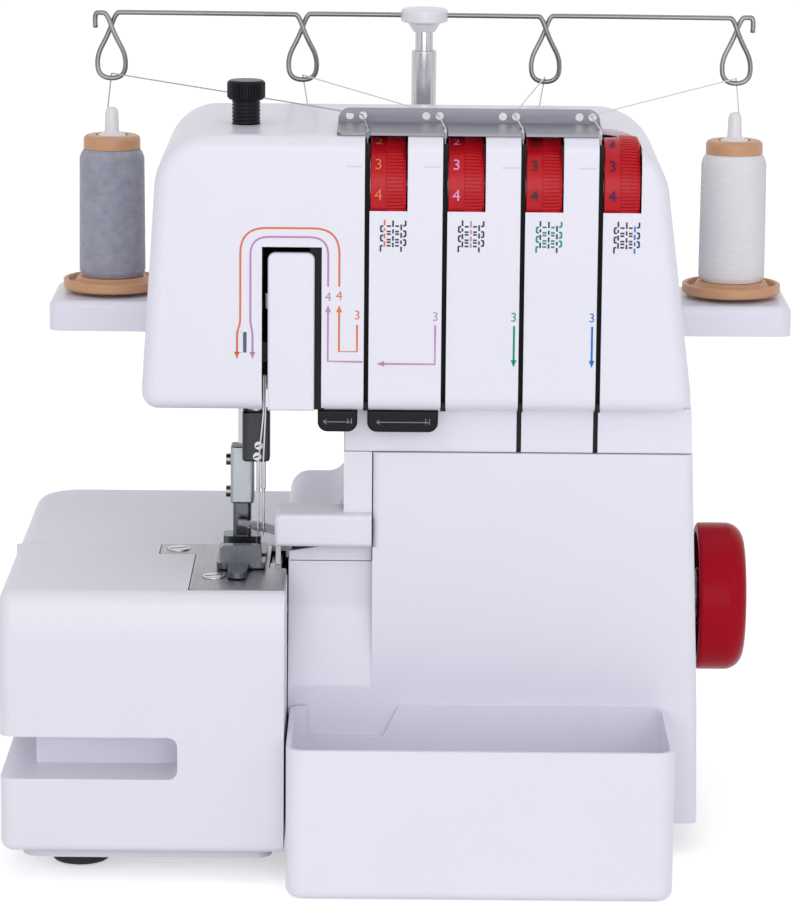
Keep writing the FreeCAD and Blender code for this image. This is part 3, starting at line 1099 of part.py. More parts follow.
def wires_and_threads():
    """Wire rail with its loops, and the sewing threads."""
    z = number(S.rail_z)
    y = number(S.spool_y)
    mast = number(S.mast_x)
    solids = []
    path = []
    for index, side in ((0, -1), (1, -1)):
        x = number(spool_x(index))
        turns = [(v, r) for v, r in loop_spots(x, 1, z)]
        path.extend(reversed(turns))
    left_end = number(spool_x(0)) - 7.4
    path.insert(0, (FreeCAD.Vector(left_end, y - 1, z - 1.2), 1.9))
    path.insert(0, (FreeCAD.Vector(left_end + 0.6, y - 1, z - 6.5), 0))
    for index in (2, 3):
        x = number(spool_x(index))
        path.extend(loop_spots(x, -1, z))
    right_end = number(spool_x(3)) + 7.4
    path.append((FreeCAD.Vector(right_end, y - 1, z - 1.2), 1.9))
    path.append((FreeCAD.Vector(right_end - 0.6, y - 1, z - 6.5), 0))
    spots = [p for p, r in path]
    middle = next(i for i, p in enumerate(spots) if p.x > mast)
    spots.insert(middle, FreeCAD.Vector(mast, y, z))
    path.insert(middle, (spots[middle], 60))
    solids.append(tube_along(spots, [r for p, r in path], number(S.rail_radius)))
    Shaped("thread_guide_rail", solids)
    threads = []
    radius = number(S.thread_radius)
    top = number(S.head_top)
    wrap = number(S.rail_radius) + radius + 0.75
    skin = number(S.pack_radius) + radius + 0.15
    for index in range(4):
        x = number(spool_x(index))
        slot = number(slot_x(index))
        lead = -1 if index in (0, 2) else 1
        wire = FreeCAD.Vector(x, y, z - number(S.loop_drop))
        rise = FreeCAD.Vector(x + lead * 4, y + math.sqrt(skin ** 2 - 16), number(S.pack_high) - 4)
        clear = rise + FreeCAD.Vector(-lead * 0.5, -0.3, 12)
        hole = FreeCAD.Vector(slot - 2.2, 76.5, top + 3.6)
        over = around(clear, wire, hole, wrap)
        fall = FreeCAD.Vector(slot - 0.1, 46, top + 1.7)
        held = FreeCAD.Vector(slot - 0.1, 45.2, number(S.dial_z) - 3)
        threads.append(tube_along([rise, clear, over, hole, fall, held], [0, 12, wrap, 2, 2, 0], radius))
    Shaped("spool_threads", threads)
    stitches = []
    tip = number(S.needle_tip)
    front = number(S.needle_y) - 9
    for shift, start in ((0.8, -54.7), (0.8 + number(S.needle_gap), -53.9)):
        x = number(S.needle_x) + shift
        spots = [
            FreeCAD.Vector(start, number(S.head_front) + 5, number(S.head_bottom) + 14),
            FreeCAD.Vector(start, number(S.head_front) + 5, number(S.head_bottom) - 2),
            FreeCAD.Vector(x, front, tip + 31),
            FreeCAD.Vector(x, number(S.needle_y) - 1.5, tip + 22),
            FreeCAD.Vector(x, number(S.needle_y) - 1.5, tip + 5),
        ]
        stitches.append(tube_along(spots, [0, 3, 3, 3, 0], radius))
    Shaped("needle_threads", stitches)


def around(before, centre, after, radius):
    """Corner of a path whose arc of this radius lies round a centre."""
    spot = centre + FreeCAD.Vector(0, 0, radius)
    for step in range(40):
        toward = (before - spot).normalize()
        onward = (after - spot).normalize()
        half = toward.getAngle(onward) / 2
        middle = (toward + onward).normalize()
        spot = centre - middle * (radius / math.sin(half))
    return spot


def presser_spring():
    """Coil spring round the presser bar, in quarter turns."""
    turns = 6
    wire = number(S.spring_wire)
    radius = number(S.spring_radius)
    low = number(S.lug_high) + wire + 0.1
    high = number(S.spring_high) - wire - 0.1
    centre = FreeCAD.Vector(number(S.presser_x), number(S.presser_y), 0)

    def spot(quarter):
        angle = quarter * math.pi / 2
        height = low + (high - low) * quarter / (4 * turns)
        return centre + FreeCAD.Vector(radius * math.cos(angle), radius * math.sin(angle), height)

    edges = [Part.Arc(spot(k), spot(k + 0.5), spot(k + 1)).toShape() for k in range(4 * turns)]
    spine = Part.Wire(edges)
    heading = edges[0].tangentAt(edges[0].FirstParameter)
    circle = Part.Wire(Part.Circle(spot(0), heading, wire).toShape())
    coil = spine.makePipeShell([circle], True, False)
    gap = (high - low) / turns - 2 * wire
    print(f"spring gap {gap:.2f} mm, volume ratio {coil.Volume / (spine.Length * math.pi * wire ** 2):.4f}")
    Shaped("presser_spring", [coil])


def power():
    """Mains inlet and rocker switch in the right side."""
    right = side_face
    left, far, low, high = inlet_spot
    inlet = Piece("power_inlet")
    inlet.pad("YZ", right - 12, right, box(left, far, low, high, 3))
    inlet.pad("YZ", right, right + 1.2, box(left - 2, far + 2, low - 2, high + 2, 4))
    inlet.cut("YZ", right - 10, right + 2, box(left + 4, far - 4, low + 5, high - 5, 3))
    for y in (S.inlet_y - 6, S.inlet_y + 4):
        inlet.pad("YZ", right - 11, right - 3, box(y, y + 2, S.inlet_z - 2, S.inlet_z + 2))
    rocker = Piece("power_switch")
    left, far, low, high = switch_spot
    rocker.pad("XZ", left + 0.4, far - 0.4, [
        (right - 7, low + 2.6, 1), (right - 1, low + 1.9), (right + 2.6, low + 2, 0.6), (right + 1.4, S.switch_z, 20),
        (right + 0.4, high - 2, 0.6), (right - 1, high - 1.9), (right - 7, high - 2.6, 1)])
    rocker.pad("XZ", left + 0.4, far - 0.4, ring(right - 4, S.switch_z, 4.2))


def export():
    """Check every object, then write one file for each sub-part."""
    DOC.recompute()
    wrong = [o.Label for o in DOC.Objects if "Invalid" in o.State or "Error" in o.State]
    if wrong:
        raise RuntimeError(f"not built: {wrong}")
    os.makedirs("parts", exist_ok=True)
    for piece in Piece.made:
        shape = piece.body.Shape
        if shape.isNull() or not shape.isValid() or not shape.Solids:
            raise RuntimeError(f"no valid solid in {piece.label}")
        shape.exportStep(f"parts/{piece.label}.step")
        print(f"{piece.label}: {len(shape.Solids)} solids, {shape.Volume:.0f} mm3")


for build in (base, frame, rear_cover, bed_rear_cover, cloth_plate, head_front, front_covers, needle_area,
              needle_bar, presser, presser_spring, drive, tension, spool_stand, wires_and_threads, power):
    build()
export()
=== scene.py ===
"""Dresses the overlock machine: finishes, threads, dials, printed marks, light and camera."""
import json
import logging
import math
from dataclasses import dataclass, field
from enum import Enum
from typing import Callable, Iterable, Sequence

import bmesh
import bpy
from mathutils import Matrix, Vector


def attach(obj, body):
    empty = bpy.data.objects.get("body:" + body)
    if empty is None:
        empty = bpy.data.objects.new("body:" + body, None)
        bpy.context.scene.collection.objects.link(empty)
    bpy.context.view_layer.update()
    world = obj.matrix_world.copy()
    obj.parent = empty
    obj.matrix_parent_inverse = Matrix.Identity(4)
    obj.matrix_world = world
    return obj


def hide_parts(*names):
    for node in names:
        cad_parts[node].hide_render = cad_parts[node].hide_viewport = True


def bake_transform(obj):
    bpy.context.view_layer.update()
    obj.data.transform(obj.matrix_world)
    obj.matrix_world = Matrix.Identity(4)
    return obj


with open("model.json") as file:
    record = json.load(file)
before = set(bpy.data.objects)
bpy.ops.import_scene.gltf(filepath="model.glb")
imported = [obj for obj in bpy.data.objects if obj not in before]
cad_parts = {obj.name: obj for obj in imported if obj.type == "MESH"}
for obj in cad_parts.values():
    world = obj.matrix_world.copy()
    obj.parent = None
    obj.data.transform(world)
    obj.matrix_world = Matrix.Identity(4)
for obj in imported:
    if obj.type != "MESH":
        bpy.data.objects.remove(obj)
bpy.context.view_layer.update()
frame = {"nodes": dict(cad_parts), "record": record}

LOG = logging.getLogger("overlock")
MM = 0.001
Spot = tuple[float, float, float]
Flat = tuple[float, float]


class Layout:
    """Places of the machine, in millimetres from the front of its bed."""

    centre_x = 5.15
    centre_y = 94.5
    slot_first = -13.1
    slot_pitch = 31.37
    face_y = 36.0
    mast_x = 10.0
    spool_y = 185.0
    spool_offsets = (-135.7, -52.7, 52.7, 135.7)

    @classmethod
    def point(cls, x: float, y: float, z: float) -> Vector:
        """Place a point of the drawing in the row frame.

        Args:
            x: Millimetres to the right.
            y: Millimetres to the back.
            z: Millimetres up.

        Returns:
            The point in metres.
        """
        return Vector(((x - cls.centre_x) * MM, (y - cls.centre_y) * MM, z * MM))

    @classmethod
    def slot(cls, index: int) -> float:
        """Give the middle of one thread slot, counted from the left."""
        return cls.slot_first + index * cls.slot_pitch

    @classmethod
    def spool(cls, index: int) -> float:
        """Give the middle of one spool, counted from the left."""
        return cls.mast_x + cls.spool_offsets[index]


class Ink(Enum):
    """Colours of the printed marks and of the painted shade in openings, in linear light."""

    ORANGE = (0.80, 0.21, 0.08, 1.0)
    LILAC = (0.56, 0.29, 0.56, 1.0)
    GREEN = (0.0, 0.30, 0.19, 1.0)
    BLUE = (0.012, 0.19, 0.56, 1.0)
    SLATE = (0.045, 0.05, 0.085, 1.0)
    # Dark pill colour: painted shade where the thread guide slot opens, not a print.
    STONE = (0.11, 0.14, 0.20, 1.0)
    ASH = (0.40, 0.41, 0.45, 1.0)
    PINK = (0.85, 0.36, 0.62, 1.0)
    PINE = (0.012, 0.045, 0.035, 1.0)
    NAVY = (0.05, 0.012, 0.09, 1.0)
    MIST = (0.74, 0.73, 0.79, 1.0)
    # Black: painted shade inside the slots, gaps and screw driver slots.
    BLACK = (0.006, 0.006, 0.007, 1.0)


class NodeGroups:
    """Shader effects that several finishes share, each built once."""

    def __init__(self) -> None:
        """Build both effects."""
        self.grain = self._grain()
        self.winding = self._winding()

    @staticmethod
    def _open(name: str, inputs: Sequence[tuple[str, str, object]],
              outputs: Sequence[tuple[str, str]]) -> bpy.types.NodeTree:
        """Make an empty group with its sockets.

        Args:
            name: Name of the group.
            inputs: Label, socket type and first value of each input.
            outputs: Label and socket type of each output.

        Returns:
            The new group.
        """
        tree = bpy.data.node_groups.new(name, "ShaderNodeTree")
        for label, kind, value in inputs:
            socket = tree.interface.new_socket(label, in_out="INPUT", socket_type=kind)
            socket.default_value = value
        for label, kind in outputs:
            tree.interface.new_socket(label, in_out="OUTPUT", socket_type=kind)
        return tree

    def _grain(self) -> bpy.types.NodeTree:
        """Fine stretched grain over a slow tint, for mouldings and worked metal.

        Returns:
            The group, with colour, roughness and height.
        """
        tree = self._open("surface_grain", [
            ("Color", "NodeSocketColor", (0.8, 0.8, 0.8, 1.0)),
            ("Tint", "NodeSocketColor", (0.7, 0.7, 0.7, 1.0)),
            ("Stretch", "NodeSocketVector", (1.0, 1.0, 1.0)), ("Scale", "NodeSocketFloat", 900.0),
            ("Rough low", "NodeSocketFloat", 0.3), ("Rough high", "NodeSocketFloat", 0.5)],
            [("Color", "NodeSocketColor"), ("Roughness", "NodeSocketFloat"), ("Height", "NodeSocketFloat")])
        nodes = tree.nodes
        links = tree.links
        source = nodes.new("NodeGroupInput")
        target = nodes.new("NodeGroupOutput")
        place = nodes.new("ShaderNodeTexCoord")
        stretch = nodes.new("ShaderNodeVectorMath")
        stretch.operation = "MULTIPLY"
        links.new(place.outputs["Object"], stretch.inputs[0])
        links.new(source.outputs["Stretch"], stretch.inputs[1])
        fine = nodes.new("ShaderNodeTexNoise")
        fine.inputs["Detail"].default_value = 3.0
        links.new(stretch.outputs[0], fine.inputs["Vector"])
        links.new(source.outputs["Scale"], fine.inputs["Scale"])
        slow = nodes.new("ShaderNodeTexNoise")
        slow.inputs["Scale"].default_value = 14.0
        slow.inputs["Detail"].default_value = 2.0
        links.new(place.outputs["Object"], slow.inputs["Vector"])
        blend = nodes.new("ShaderNodeMath")
        blend.operation = "MULTIPLY"
        links.new(fine.outputs["Fac"], blend.inputs[0])
        links.new(slow.outputs["Fac"], blend.inputs[1])
        paint = nodes.new("ShaderNodeMix")
        paint.data_type = "RGBA"
        links.new(blend.outputs[0], paint.inputs["Factor"])
        links.new(source.outputs["Color"], paint.inputs["A"])
        links.new(source.outputs["Tint"], paint.inputs["B"])
        rough = nodes.new("ShaderNodeMapRange")
        links.new(fine.outputs["Fac"], rough.inputs["Value"])
        links.new(source.outputs["Rough low"], rough.inputs["To Min"])
        links.new(source.outputs["Rough high"], rough.inputs["To Max"])
        links.new(paint.outputs["Result"], target.inputs["Color"])
        links.new(rough.outputs["Result"], target.inputs["Roughness"])
        links.new(fine.outputs["Fac"], target.inputs["Height"])
        return tree

    def _winding(self) -> bpy.types.NodeTree:
        """Close bands round an upright axis with loose fibres, for wound thread, darker between the turns as
        painted shade.

        Returns:
            The group, with colour and height.
        """
        tree = self._open("thread_winding", [
            ("Color", "NodeSocketColor", (0.8, 0.8, 0.8, 1.0)),
            ("Shade", "NodeSocketColor", (0.5, 0.5, 0.5, 1.0)),
            ("Scale", "NodeSocketFloat", 620.0)],
            [("Color", "NodeSocketColor"), ("Height", "NodeSocketFloat")])
        nodes = tree.nodes
        links = tree.links
        source = nodes.new("NodeGroupInput")
        target = nodes.new("NodeGroupOutput")
        place = nodes.new("ShaderNodeTexCoord")
        wave = nodes.new("ShaderNodeTexWave")
        wave.bands_direction = "Z"
        wave.inputs["Distortion"].default_value = 1.4
        wave.inputs["Detail"].default_value = 2.0
        wave.inputs["Detail Scale"].default_value = 0.08
        links.new(place.outputs["Object"], wave.inputs["Vector"])
        links.new(source.outputs["Scale"], wave.inputs["Scale"])
        fuzz = nodes.new("ShaderNodeTexNoise")
        fuzz.inputs["Scale"].default_value = 260.0
        fuzz.inputs["Detail"].default_value = 4.0
        links.new(place.outputs["Object"], fuzz.inputs["Vector"])
        both = nodes.new("ShaderNodeMath")
        both.operation = "MULTIPLY"
        links.new(wave.outputs["Fac"], both.inputs[0])
        links.new(fuzz.outputs["Fac"], both.inputs[1])
        # Mix towards the Shade colour in the grooves between turns: painted shade.
        paint = nodes.new("ShaderNodeMix")
        paint.data_type = "RGBA"
        links.new(both.outputs[0], paint.inputs["Factor"])
        links.new(source.outputs["Shade"], paint.inputs["A"])
        links.new(source.outputs["Color"], paint.inputs["B"])
        links.new(paint.outputs["Result"], target.inputs["Color"])
        links.new(wave.outputs["Fac"], target.inputs["Height"])
        return tree


@dataclass(frozen=True)
class Finish:
    """A moulded, turned or printed surface."""

    name: str
    color: tuple[float, float, float, float]
    # Second colour: a random tint for grain finishes, painted shade between the turns for wound thread.
    tint: tuple[float, float, float, float]
    rough: tuple[float, float]
    metallic: float = 0.0
    specular: float = 0.5
    coat: float = 0.0
    scale: float = 900.0
    stretch: Spot = (1.0, 1.0, 1.0)
    bump: float = 0.08
    wound: bool = False

    def make(self, groups: NodeGroups) -> bpy.types.Material:
        """Build the material.

        Args:
            groups: The shared shader effects.

        Returns:
            A new node material.
        """
        material = bpy.data.materials.new(self.name)
        material.use_nodes = True
        nodes = material.node_tree.nodes
        links = material.node_tree.links
        shader = nodes["Principled BSDF"]
        shader.inputs["Metallic"].default_value = self.metallic
        shader.inputs["Specular IOR Level"].default_value = self.specular
        shader.inputs["Coat Weight"].default_value = self.coat
        shader.inputs["Coat Roughness"].default_value = 0.12
        effect = nodes.new("ShaderNodeGroup")
        effect.node_tree = groups.winding if self.wound else groups.grain
        effect.inputs["Color"].default_value = self.color
        effect.inputs["Scale"].default_value = self.scale
        if self.wound:
            # Wound thread takes the second colour as painted shade between the turns.
            effect.inputs["Shade"].default_value = self.tint
            shader.inputs["Roughness"].default_value = self.rough[1]
            shader.inputs["Sheen Weight"].default_value = 0.25
        else:
            effect.inputs["Tint"].default_value = self.tint
            effect.inputs["Stretch"].default_value = self.stretch
            effect.inputs["Rough low"].default_value = self.rough[0]
            effect.inputs["Rough high"].default_value = self.rough[1]
            links.new(effect.outputs["Roughness"], shader.inputs["Roughness"])
        links.new(effect.outputs["Color"], shader.inputs["Base Color"])
        relief = nodes.new("ShaderNodeBump")
        relief.inputs["Strength"].default_value = self.bump
        relief.inputs["Distance"].default_value = 0.0002
        links.new(effect.outputs["Height"], relief.inputs["Height"])
        links.new(relief.outputs["Normal"], shader.inputs["Normal"])
        return material


class FinishBook:
    """Every finish of the machine by name, made when first asked for."""

    recipes = (
        Finish("white_moulding", (0.84, 0.83, 0.92, 1), (0.78, 0.77, 0.87, 1), (0.30, 0.42), coat=0.1,
               bump=0.05),
        Finish("bed_moulding", (0.82, 0.81, 0.89, 1), (0.75, 0.74, 0.82, 1), (0.32, 0.46), coat=0.1,
               bump=0.07),
        Finish("trim_moulding", (0.84, 0.84, 0.86, 1), (0.76, 0.76, 0.80, 1), (0.28, 0.40), coat=0.2),
        Finish("dial_red", (0.56, 0.008, 0.016, 1), (0.40, 0.004, 0.010, 1), (0.26, 0.40), specular=0.22,
               coat=0.05),
        Finish("wheel_red", (0.40, 0.006, 0.018, 1), (0.34, 0.004, 0.014, 1), (0.16, 0.26),
               specular=0.04, coat=0.0,
               bump=0.03),
        Finish("black_moulding", (0.006, 0.007, 0.011, 1), (0.010, 0.011, 0.016, 1), (0.22, 0.34),
               specular=0.15),
        Finish("polished_steel", (0.56, 0.56, 0.58, 1), (0.44, 0.44, 0.47, 1), (0.14, 0.24), metallic=1.0,
               scale=500.0, stretch=(0.05, 1.0, 1.0), bump=0.03),
        Finish("wire_steel", (0.24, 0.235, 0.235, 1), (0.17, 0.165, 0.165, 1), (0.16, 0.26), metallic=1.0,
               scale=500.0, bump=0.03),
        Finish("holder_steel", (0.36, 0.385, 0.405, 1), (0.28, 0.30, 0.32, 1), (0.30, 0.42), metallic=1.0,
               scale=500.0, bump=0.05),
        Finish("foot_steel", (0.13, 0.14, 0.155, 1), (0.07, 0.075, 0.085, 1), (0.20, 0.32), metallic=1.0,
               scale=600.0),
        Finish("plate_steel", (0.19, 0.19, 0.22, 1), (0.13, 0.13, 0.16, 1), (0.24, 0.36), metallic=1.0,
               scale=700.0, stretch=(0.04, 1.0, 1.0), bump=0.06),
        Finish("needle_plate_steel", (0.40, 0.39, 0.41, 1), (0.28, 0.27, 0.30, 1), (0.26, 0.40), metallic=1.0,
               scale=800.0, stretch=(1.0, 0.05, 1.0), bump=0.06),
        Finish("dark_steel", (0.045, 0.047, 0.055, 1), (0.025, 0.026, 0.032, 1), (0.26, 0.40), metallic=0.8,
               scale=600.0),
        Finish("dark_polish", (0.20, 0.20, 0.22, 1), (0.12, 0.12, 0.14, 1), (0.14, 0.26), metallic=1.0,
               scale=600.0),
        Finish("cast_iron", (0.10, 0.10, 0.105, 1), (0.06, 0.06, 0.065, 1), (0.55, 0.75), metallic=0.5,
               scale=350.0, bump=0.3),
        Finish("rubber", (0.018, 0.018, 0.019, 1), (0.03, 0.03, 0.03, 1), (0.65, 0.85), scale=500.0,
               bump=0.2),
        Finish("spool_tan", (0.62, 0.33, 0.18, 1), (0.52, 0.26, 0.13, 1), (0.36, 0.50), coat=0.1, bump=0.06),
        Finish("bronze", (0.52, 0.33, 0.13, 1), (0.40, 0.24, 0.09, 1), (0.3, 0.45), metallic=1.0),
        # Grey thread: bright bands and speckles are painted highlight, dark bands painted shade.
        Finish("grey_thread", (0.82, 0.83, 0.94, 1), (0.25, 0.255, 0.33, 1), (0.4, 0.5), bump=0.6,
               wound=True),
        Finish("white_thread", (0.97, 0.97, 0.98, 1), (0.90, 0.90, 0.93, 1), (0.6, 0.75), bump=0.6,
               wound=True),
        Finish("pale_thread", (0.92, 0.92, 0.92, 1), (0.80, 0.80, 0.82, 1), (0.6, 0.75), bump=0.6,
               wound=True),
        Finish("single_thread", (0.84, 0.84, 0.87, 1), (0.76, 0.76, 0.80, 1), (0.55, 0.7), scale=2500.0),
        Finish("single_grey_thread", (0.50, 0.50, 0.56, 1), (0.42, 0.42, 0.48, 1), (0.55, 0.7), scale=2500.0),
    )

    def __init__(self) -> None:
        """List every finish and add one for each ink, the painted shade colours among them."""
        self.groups = NodeGroups()
        self.made: dict[str, bpy.types.Material] = {}
        self.known = {recipe.name: recipe for recipe in self.recipes}
        for ink in Ink:
            soft = tuple(min(1.0, c * 0.86) for c in ink.value[:3]) + (1.0,)
            name = f"ink_{ink.name.lower()}"
            self.known[name] = Finish(name, ink.value, soft, (0.42, 0.55), specular=0.2, scale=1800.0,
                                      bump=0.02)

    def get(self, name: str) -> bpy.types.Material:
        """Give one finish, made at its first use.

        Args:
            name: Name of the finish.

        Returns:
            Its material.
        """
        if name not in self.made:
            self.made[name] = self.known[name].make(self.groups)
        return self.made[name]

    def ink(self, ink: Ink) -> bpy.types.Material:
        """Give the finish of one ink, a print colour or a painted shade.

        Args:
            ink: The ink.

        Returns:
            Its material.
        """
        return self.get(f"ink_{ink.name.lower()}")


class MeshMaker:
    """Collects faces and makes one piece of them."""

    def __init__(self) -> None:
        """Start with no faces."""
        self.mesh = bmesh.new()

    def face(self, corners: Iterable[Vector]) -> None:
        """Add one flat face.

        Args:
            corners: Its corners in order, in metres.
        """
        self.mesh.faces.new([self.mesh.verts.new(c) for c in corners])

    def grid(self, rows: Sequence[Sequence[Vector]], closed: bool = False) -> None:
        """Add a quad sheet through rows of points, closed round each row if asked.

        Args:
            rows: Rows of points in metres, all of one length.
            closed: Whether the last point of each row joins the first.
        """
        lines = [[self.mesh.verts.new(p) for p in row] for row in rows]
        for low, high in zip(lines, lines[1:]):
            count = len(low)
            for i in range(count if closed else count - 1):
                k = (i + 1) % count
                self.mesh.faces.new((low[i], low[k], high[k], high[i]))

    def finish(self, name: str, material: bpy.types.Material, body: str | None, slot: str,
               smooth: bool = True) -> bpy.types.Object:
        """Make the object, give it a finish and let it ride on a body.

        Args:
            name: Name of the piece.
            material: Its finish.
            body: The body that it moves with, or None for a piece that rides on no body.
            slot: Not used.
            smooth: Whether faces are shaded smooth.

        Returns:
            The new object.
        """
        bmesh.ops.remove_doubles(self.mesh, verts=self.mesh.verts, dist=1e-7)
        bmesh.ops.recalc_face_normals(self.mesh, faces=self.mesh.faces)
        data = bpy.data.meshes.new(name)
        self.mesh.to_mesh(data)
        self.mesh.free()
        for polygon in data.polygons:
            polygon.use_smooth = smooth
        data.materials.append(material)
        piece = bpy.data.objects.new(name, data)
        bpy.context.scene.collection.objects.link(piece)
        if body:
            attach(piece, body)
        LOG.info("piece %s: %d faces, %s", name, len(data.polygons), body or "between two bodies")
        return piece


@dataclass
class CadFinishes:
    """Finishes of the solids that stay in view."""

    book: FinishBook
    by_slot: dict[str, str] = field(default_factory=lambda: {
        "body_plastic": "white_moulding", "bed_plastic": "bed_moulding", "trim_plastic": "trim_moulding",
        "dial_red": "dial_red", "wheel_red": "wheel_red", "black_plastic": "black_moulding",
        "bright_steel": "polished_steel", "steel": "needle_plate_steel", "dark_steel": "dark_steel",
        "cast": "cast_iron", "rubber": "rubber", "spool_tan": "spool_tan", "thread": "pale_thread",
        "bronze": "bronze"})
    by_node: dict[str, str] = field(default_factory=lambda: {
        "thread_guide_plate": "plate_steel", "upper_looper": "dark_polish", "lower_looper": "dark_polish",
        "base_plate": "bed_moulding", "thread_guide_rail": "wire_steel",
        "presser_foot_holder": "holder_steel",
        "presser_foot": "foot_steel", "presser_screws": "wire_steel"})

    def dress(self) -> None:
        """Give every solid its finish."""
        for part in frame["record"]["subparts"]:
            node = part["node"]
            name = self.by_node.get(node, self.by_slot[part["material_slot"]])
            materials = frame["nodes"][node].data.materials
            materials.clear()
            materials.append(self.book.get(name))
        LOG.info("dressed %d solids", len(frame["nodes"]))


@dataclass
class SpoolPacks:
    """Wound thread on the four spools."""

    book: FinishBook
    low: float = 219.7
    high: float = 275.6
    radius: float = 14.2
    pitch: float = 0.8
    ridge: float = 0.12
    segments: int = 56
    rows_per_turn: int = 4
    top_round: float = 5.0
    foot_round: float = 3.2
    finishes: tuple[str, ...] = ("grey_thread", "pale_thread", "pale_thread", "white_thread")

    def build(self) -> None:
        """Wind each pack as a skin with one rising ridge."""
        for index, finish in enumerate(self.finishes):
            self.pack(index, finish)

    def pack(self, index: int, finish: str) -> None:
        """Make one pack round its spool.

        Args:
            index: Which spool, counted from the left.
            finish: Name of the thread's finish.
        """
        axis = Layout.point(Layout.spool(index), Layout.spool_y, 0)
        maker = MeshMaker()
        count = int((self.high - self.low) / self.pitch * self.rows_per_turn)
        rows: list[list[Vector]] = []
        for step in range(count + 1):
            share = step / count
            height = self.low + (self.high - self.low) * share
            edge = min(share, 1 - share) * (self.high - self.low)
            shoulder = self.top_round if share > 0.5 else self.foot_round
            round_off = 0.42 * shoulder * max(0.0, 1 - edge / shoulder) ** 2
            swell = self.radius + 0.35 * (1 - share) - round_off - self.ridge
            ring = []
            for k in range(self.segments):
                angle = 2 * math.pi * k / self.segments
                turn = height / self.pitch + k / self.segments
                reach = swell + self.ridge * math.cos(2 * math.pi * turn)
                ring.append(axis + Vector((reach * math.cos(angle), reach * math.sin(angle), height)) * MM)
            rows.append(ring)
        for height, end in ((self.low, 0), (self.high, len(rows) + 1)):
            inner = [axis + Vector((11.0 * math.cos(a), 11.0 * math.sin(a), height)) * MM
                     for a in (2 * math.pi * k / self.segments for k in range(self.segments))]
            rows.insert(end, inner)
        maker.grid(rows, closed=True)
        piece = maker.finish(f"thread_pack_{index + 1}", self.book.get(finish), "machine", "thread")
        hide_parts("thread_packs")


@dataclass
class SpoolPins:
    """Slim pins with a shallow collar that show above the spools."""

    book: FinishBook
    base: float = 212.3
    collar: float = 281.4
    top: float = 293.6
    segments: int = 32

    def build(self) -> None:
        """Turn one pin for each spool."""
        for index in range(4):
            self.pin(index)

    def pin(self, index: int) -> None:
        """Turn one pin.

        Args:
            index: Which spool it carries, counted from the left.
        """
        profile = ((0.4, self.base), (9.0, self.base), (9.0, self.base + 1.6), (5.0, self.base + 3.0),
                   (5.0, self.collar - 5.0), (6.2, self.collar - 4.0), (6.2, self.collar - 0.3),
                   (5.9, self.collar + 0.2), (4.4, self.collar + 0.8), (3.5, self.collar + 1.3),
                   (3.15, self.collar + 2.0), (2.95, self.top - 3.2), (2.75, self.top - 1.7),
                   (2.2, self.top - 0.7),
                   (1.3, self.top - 0.15), (0.4, self.top))
        turns = [2 * math.pi * k / self.segments for k in range(self.segments)]
        maker = MeshMaker()
        rows = [[Layout.point(Layout.spool(index) + r * math.cos(a), Layout.spool_y + r * math.sin(a), z)
                 for a in turns] for r, z in profile]
        maker.grid(rows, closed=True)
        maker.face(rows[0])
        maker.face(rows[-1])
        finish = self.book.get("trim_moulding")
        piece = maker.finish(f"spool_pin_{index + 1}", finish, "machine", "trim_plastic")
        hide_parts("spool_pins")


@dataclass
class PresserSpring:
    """Coil spring between the presser bar and its seat, in two lengths."""

    book: FinishBook
    x: float = -63.2
    y: float = 75.0
    low: float = 231.8
    high: float = 251.4
    radius: float = 5.3
    wire: float = 0.7
    turns: float = 6.0
    lower_turns: float = 3.6
    steps: int = 24
    sides: int = 8

    def coil(self, name: str, first: float, last: float) -> bpy.types.Object:
        """Wind a length of the spring.

        Args:
            name: Name of the piece.
            first: Turn at which it starts.
            last: Turn at which it ends.

        Returns:
            The piece, without a body.
        """
        maker = MeshMaker()
        rise = (self.high - self.low) / self.turns
        slope = math.atan(rise / (2 * math.pi * self.radius))
        count = round((last - first) * self.steps)
        rows = []
        for step in range(count + 1):
            turn = first + (last - first) * step / count
            angle = 2 * math.pi * turn
            out = Vector((math.cos(angle), math.sin(angle), 0.0))
            along = Vector((-math.sin(angle) * math.cos(slope), math.cos(angle) * math.cos(slope),
                            math.sin(slope)))
            up = out.cross(along)
            middle = Layout.point(self.x, self.y, self.low + rise * turn) + out * self.radius * MM
            rows.append([middle + (out * math.cos(a) + up * math.sin(a)) * self.wire * MM
                         for a in (2 * math.pi * k / self.sides for k in range(self.sides))])
        maker.grid(rows, closed=True)
        maker.face(rows[0])
        maker.face(rows[-1])
        return maker.finish(name, self.book.get("polished_steel"), None, "steel")

    def build(self) -> None:
        """Wind both lengths."""
        split = self.low + (self.high - self.low) * self.lower_turns / self.turns
        foot, middle, head = (Layout.point(self.x, self.y, z) for z in (self.low, split, self.high))
        lower = self.coil("presser_spring_lower", 0.0, self.lower_turns)
        upper = self.coil("presser_spring_upper", self.lower_turns, self.turns)
        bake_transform(lower)
        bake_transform(upper)
        for piece in (lower, upper):
            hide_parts("presser_spring")


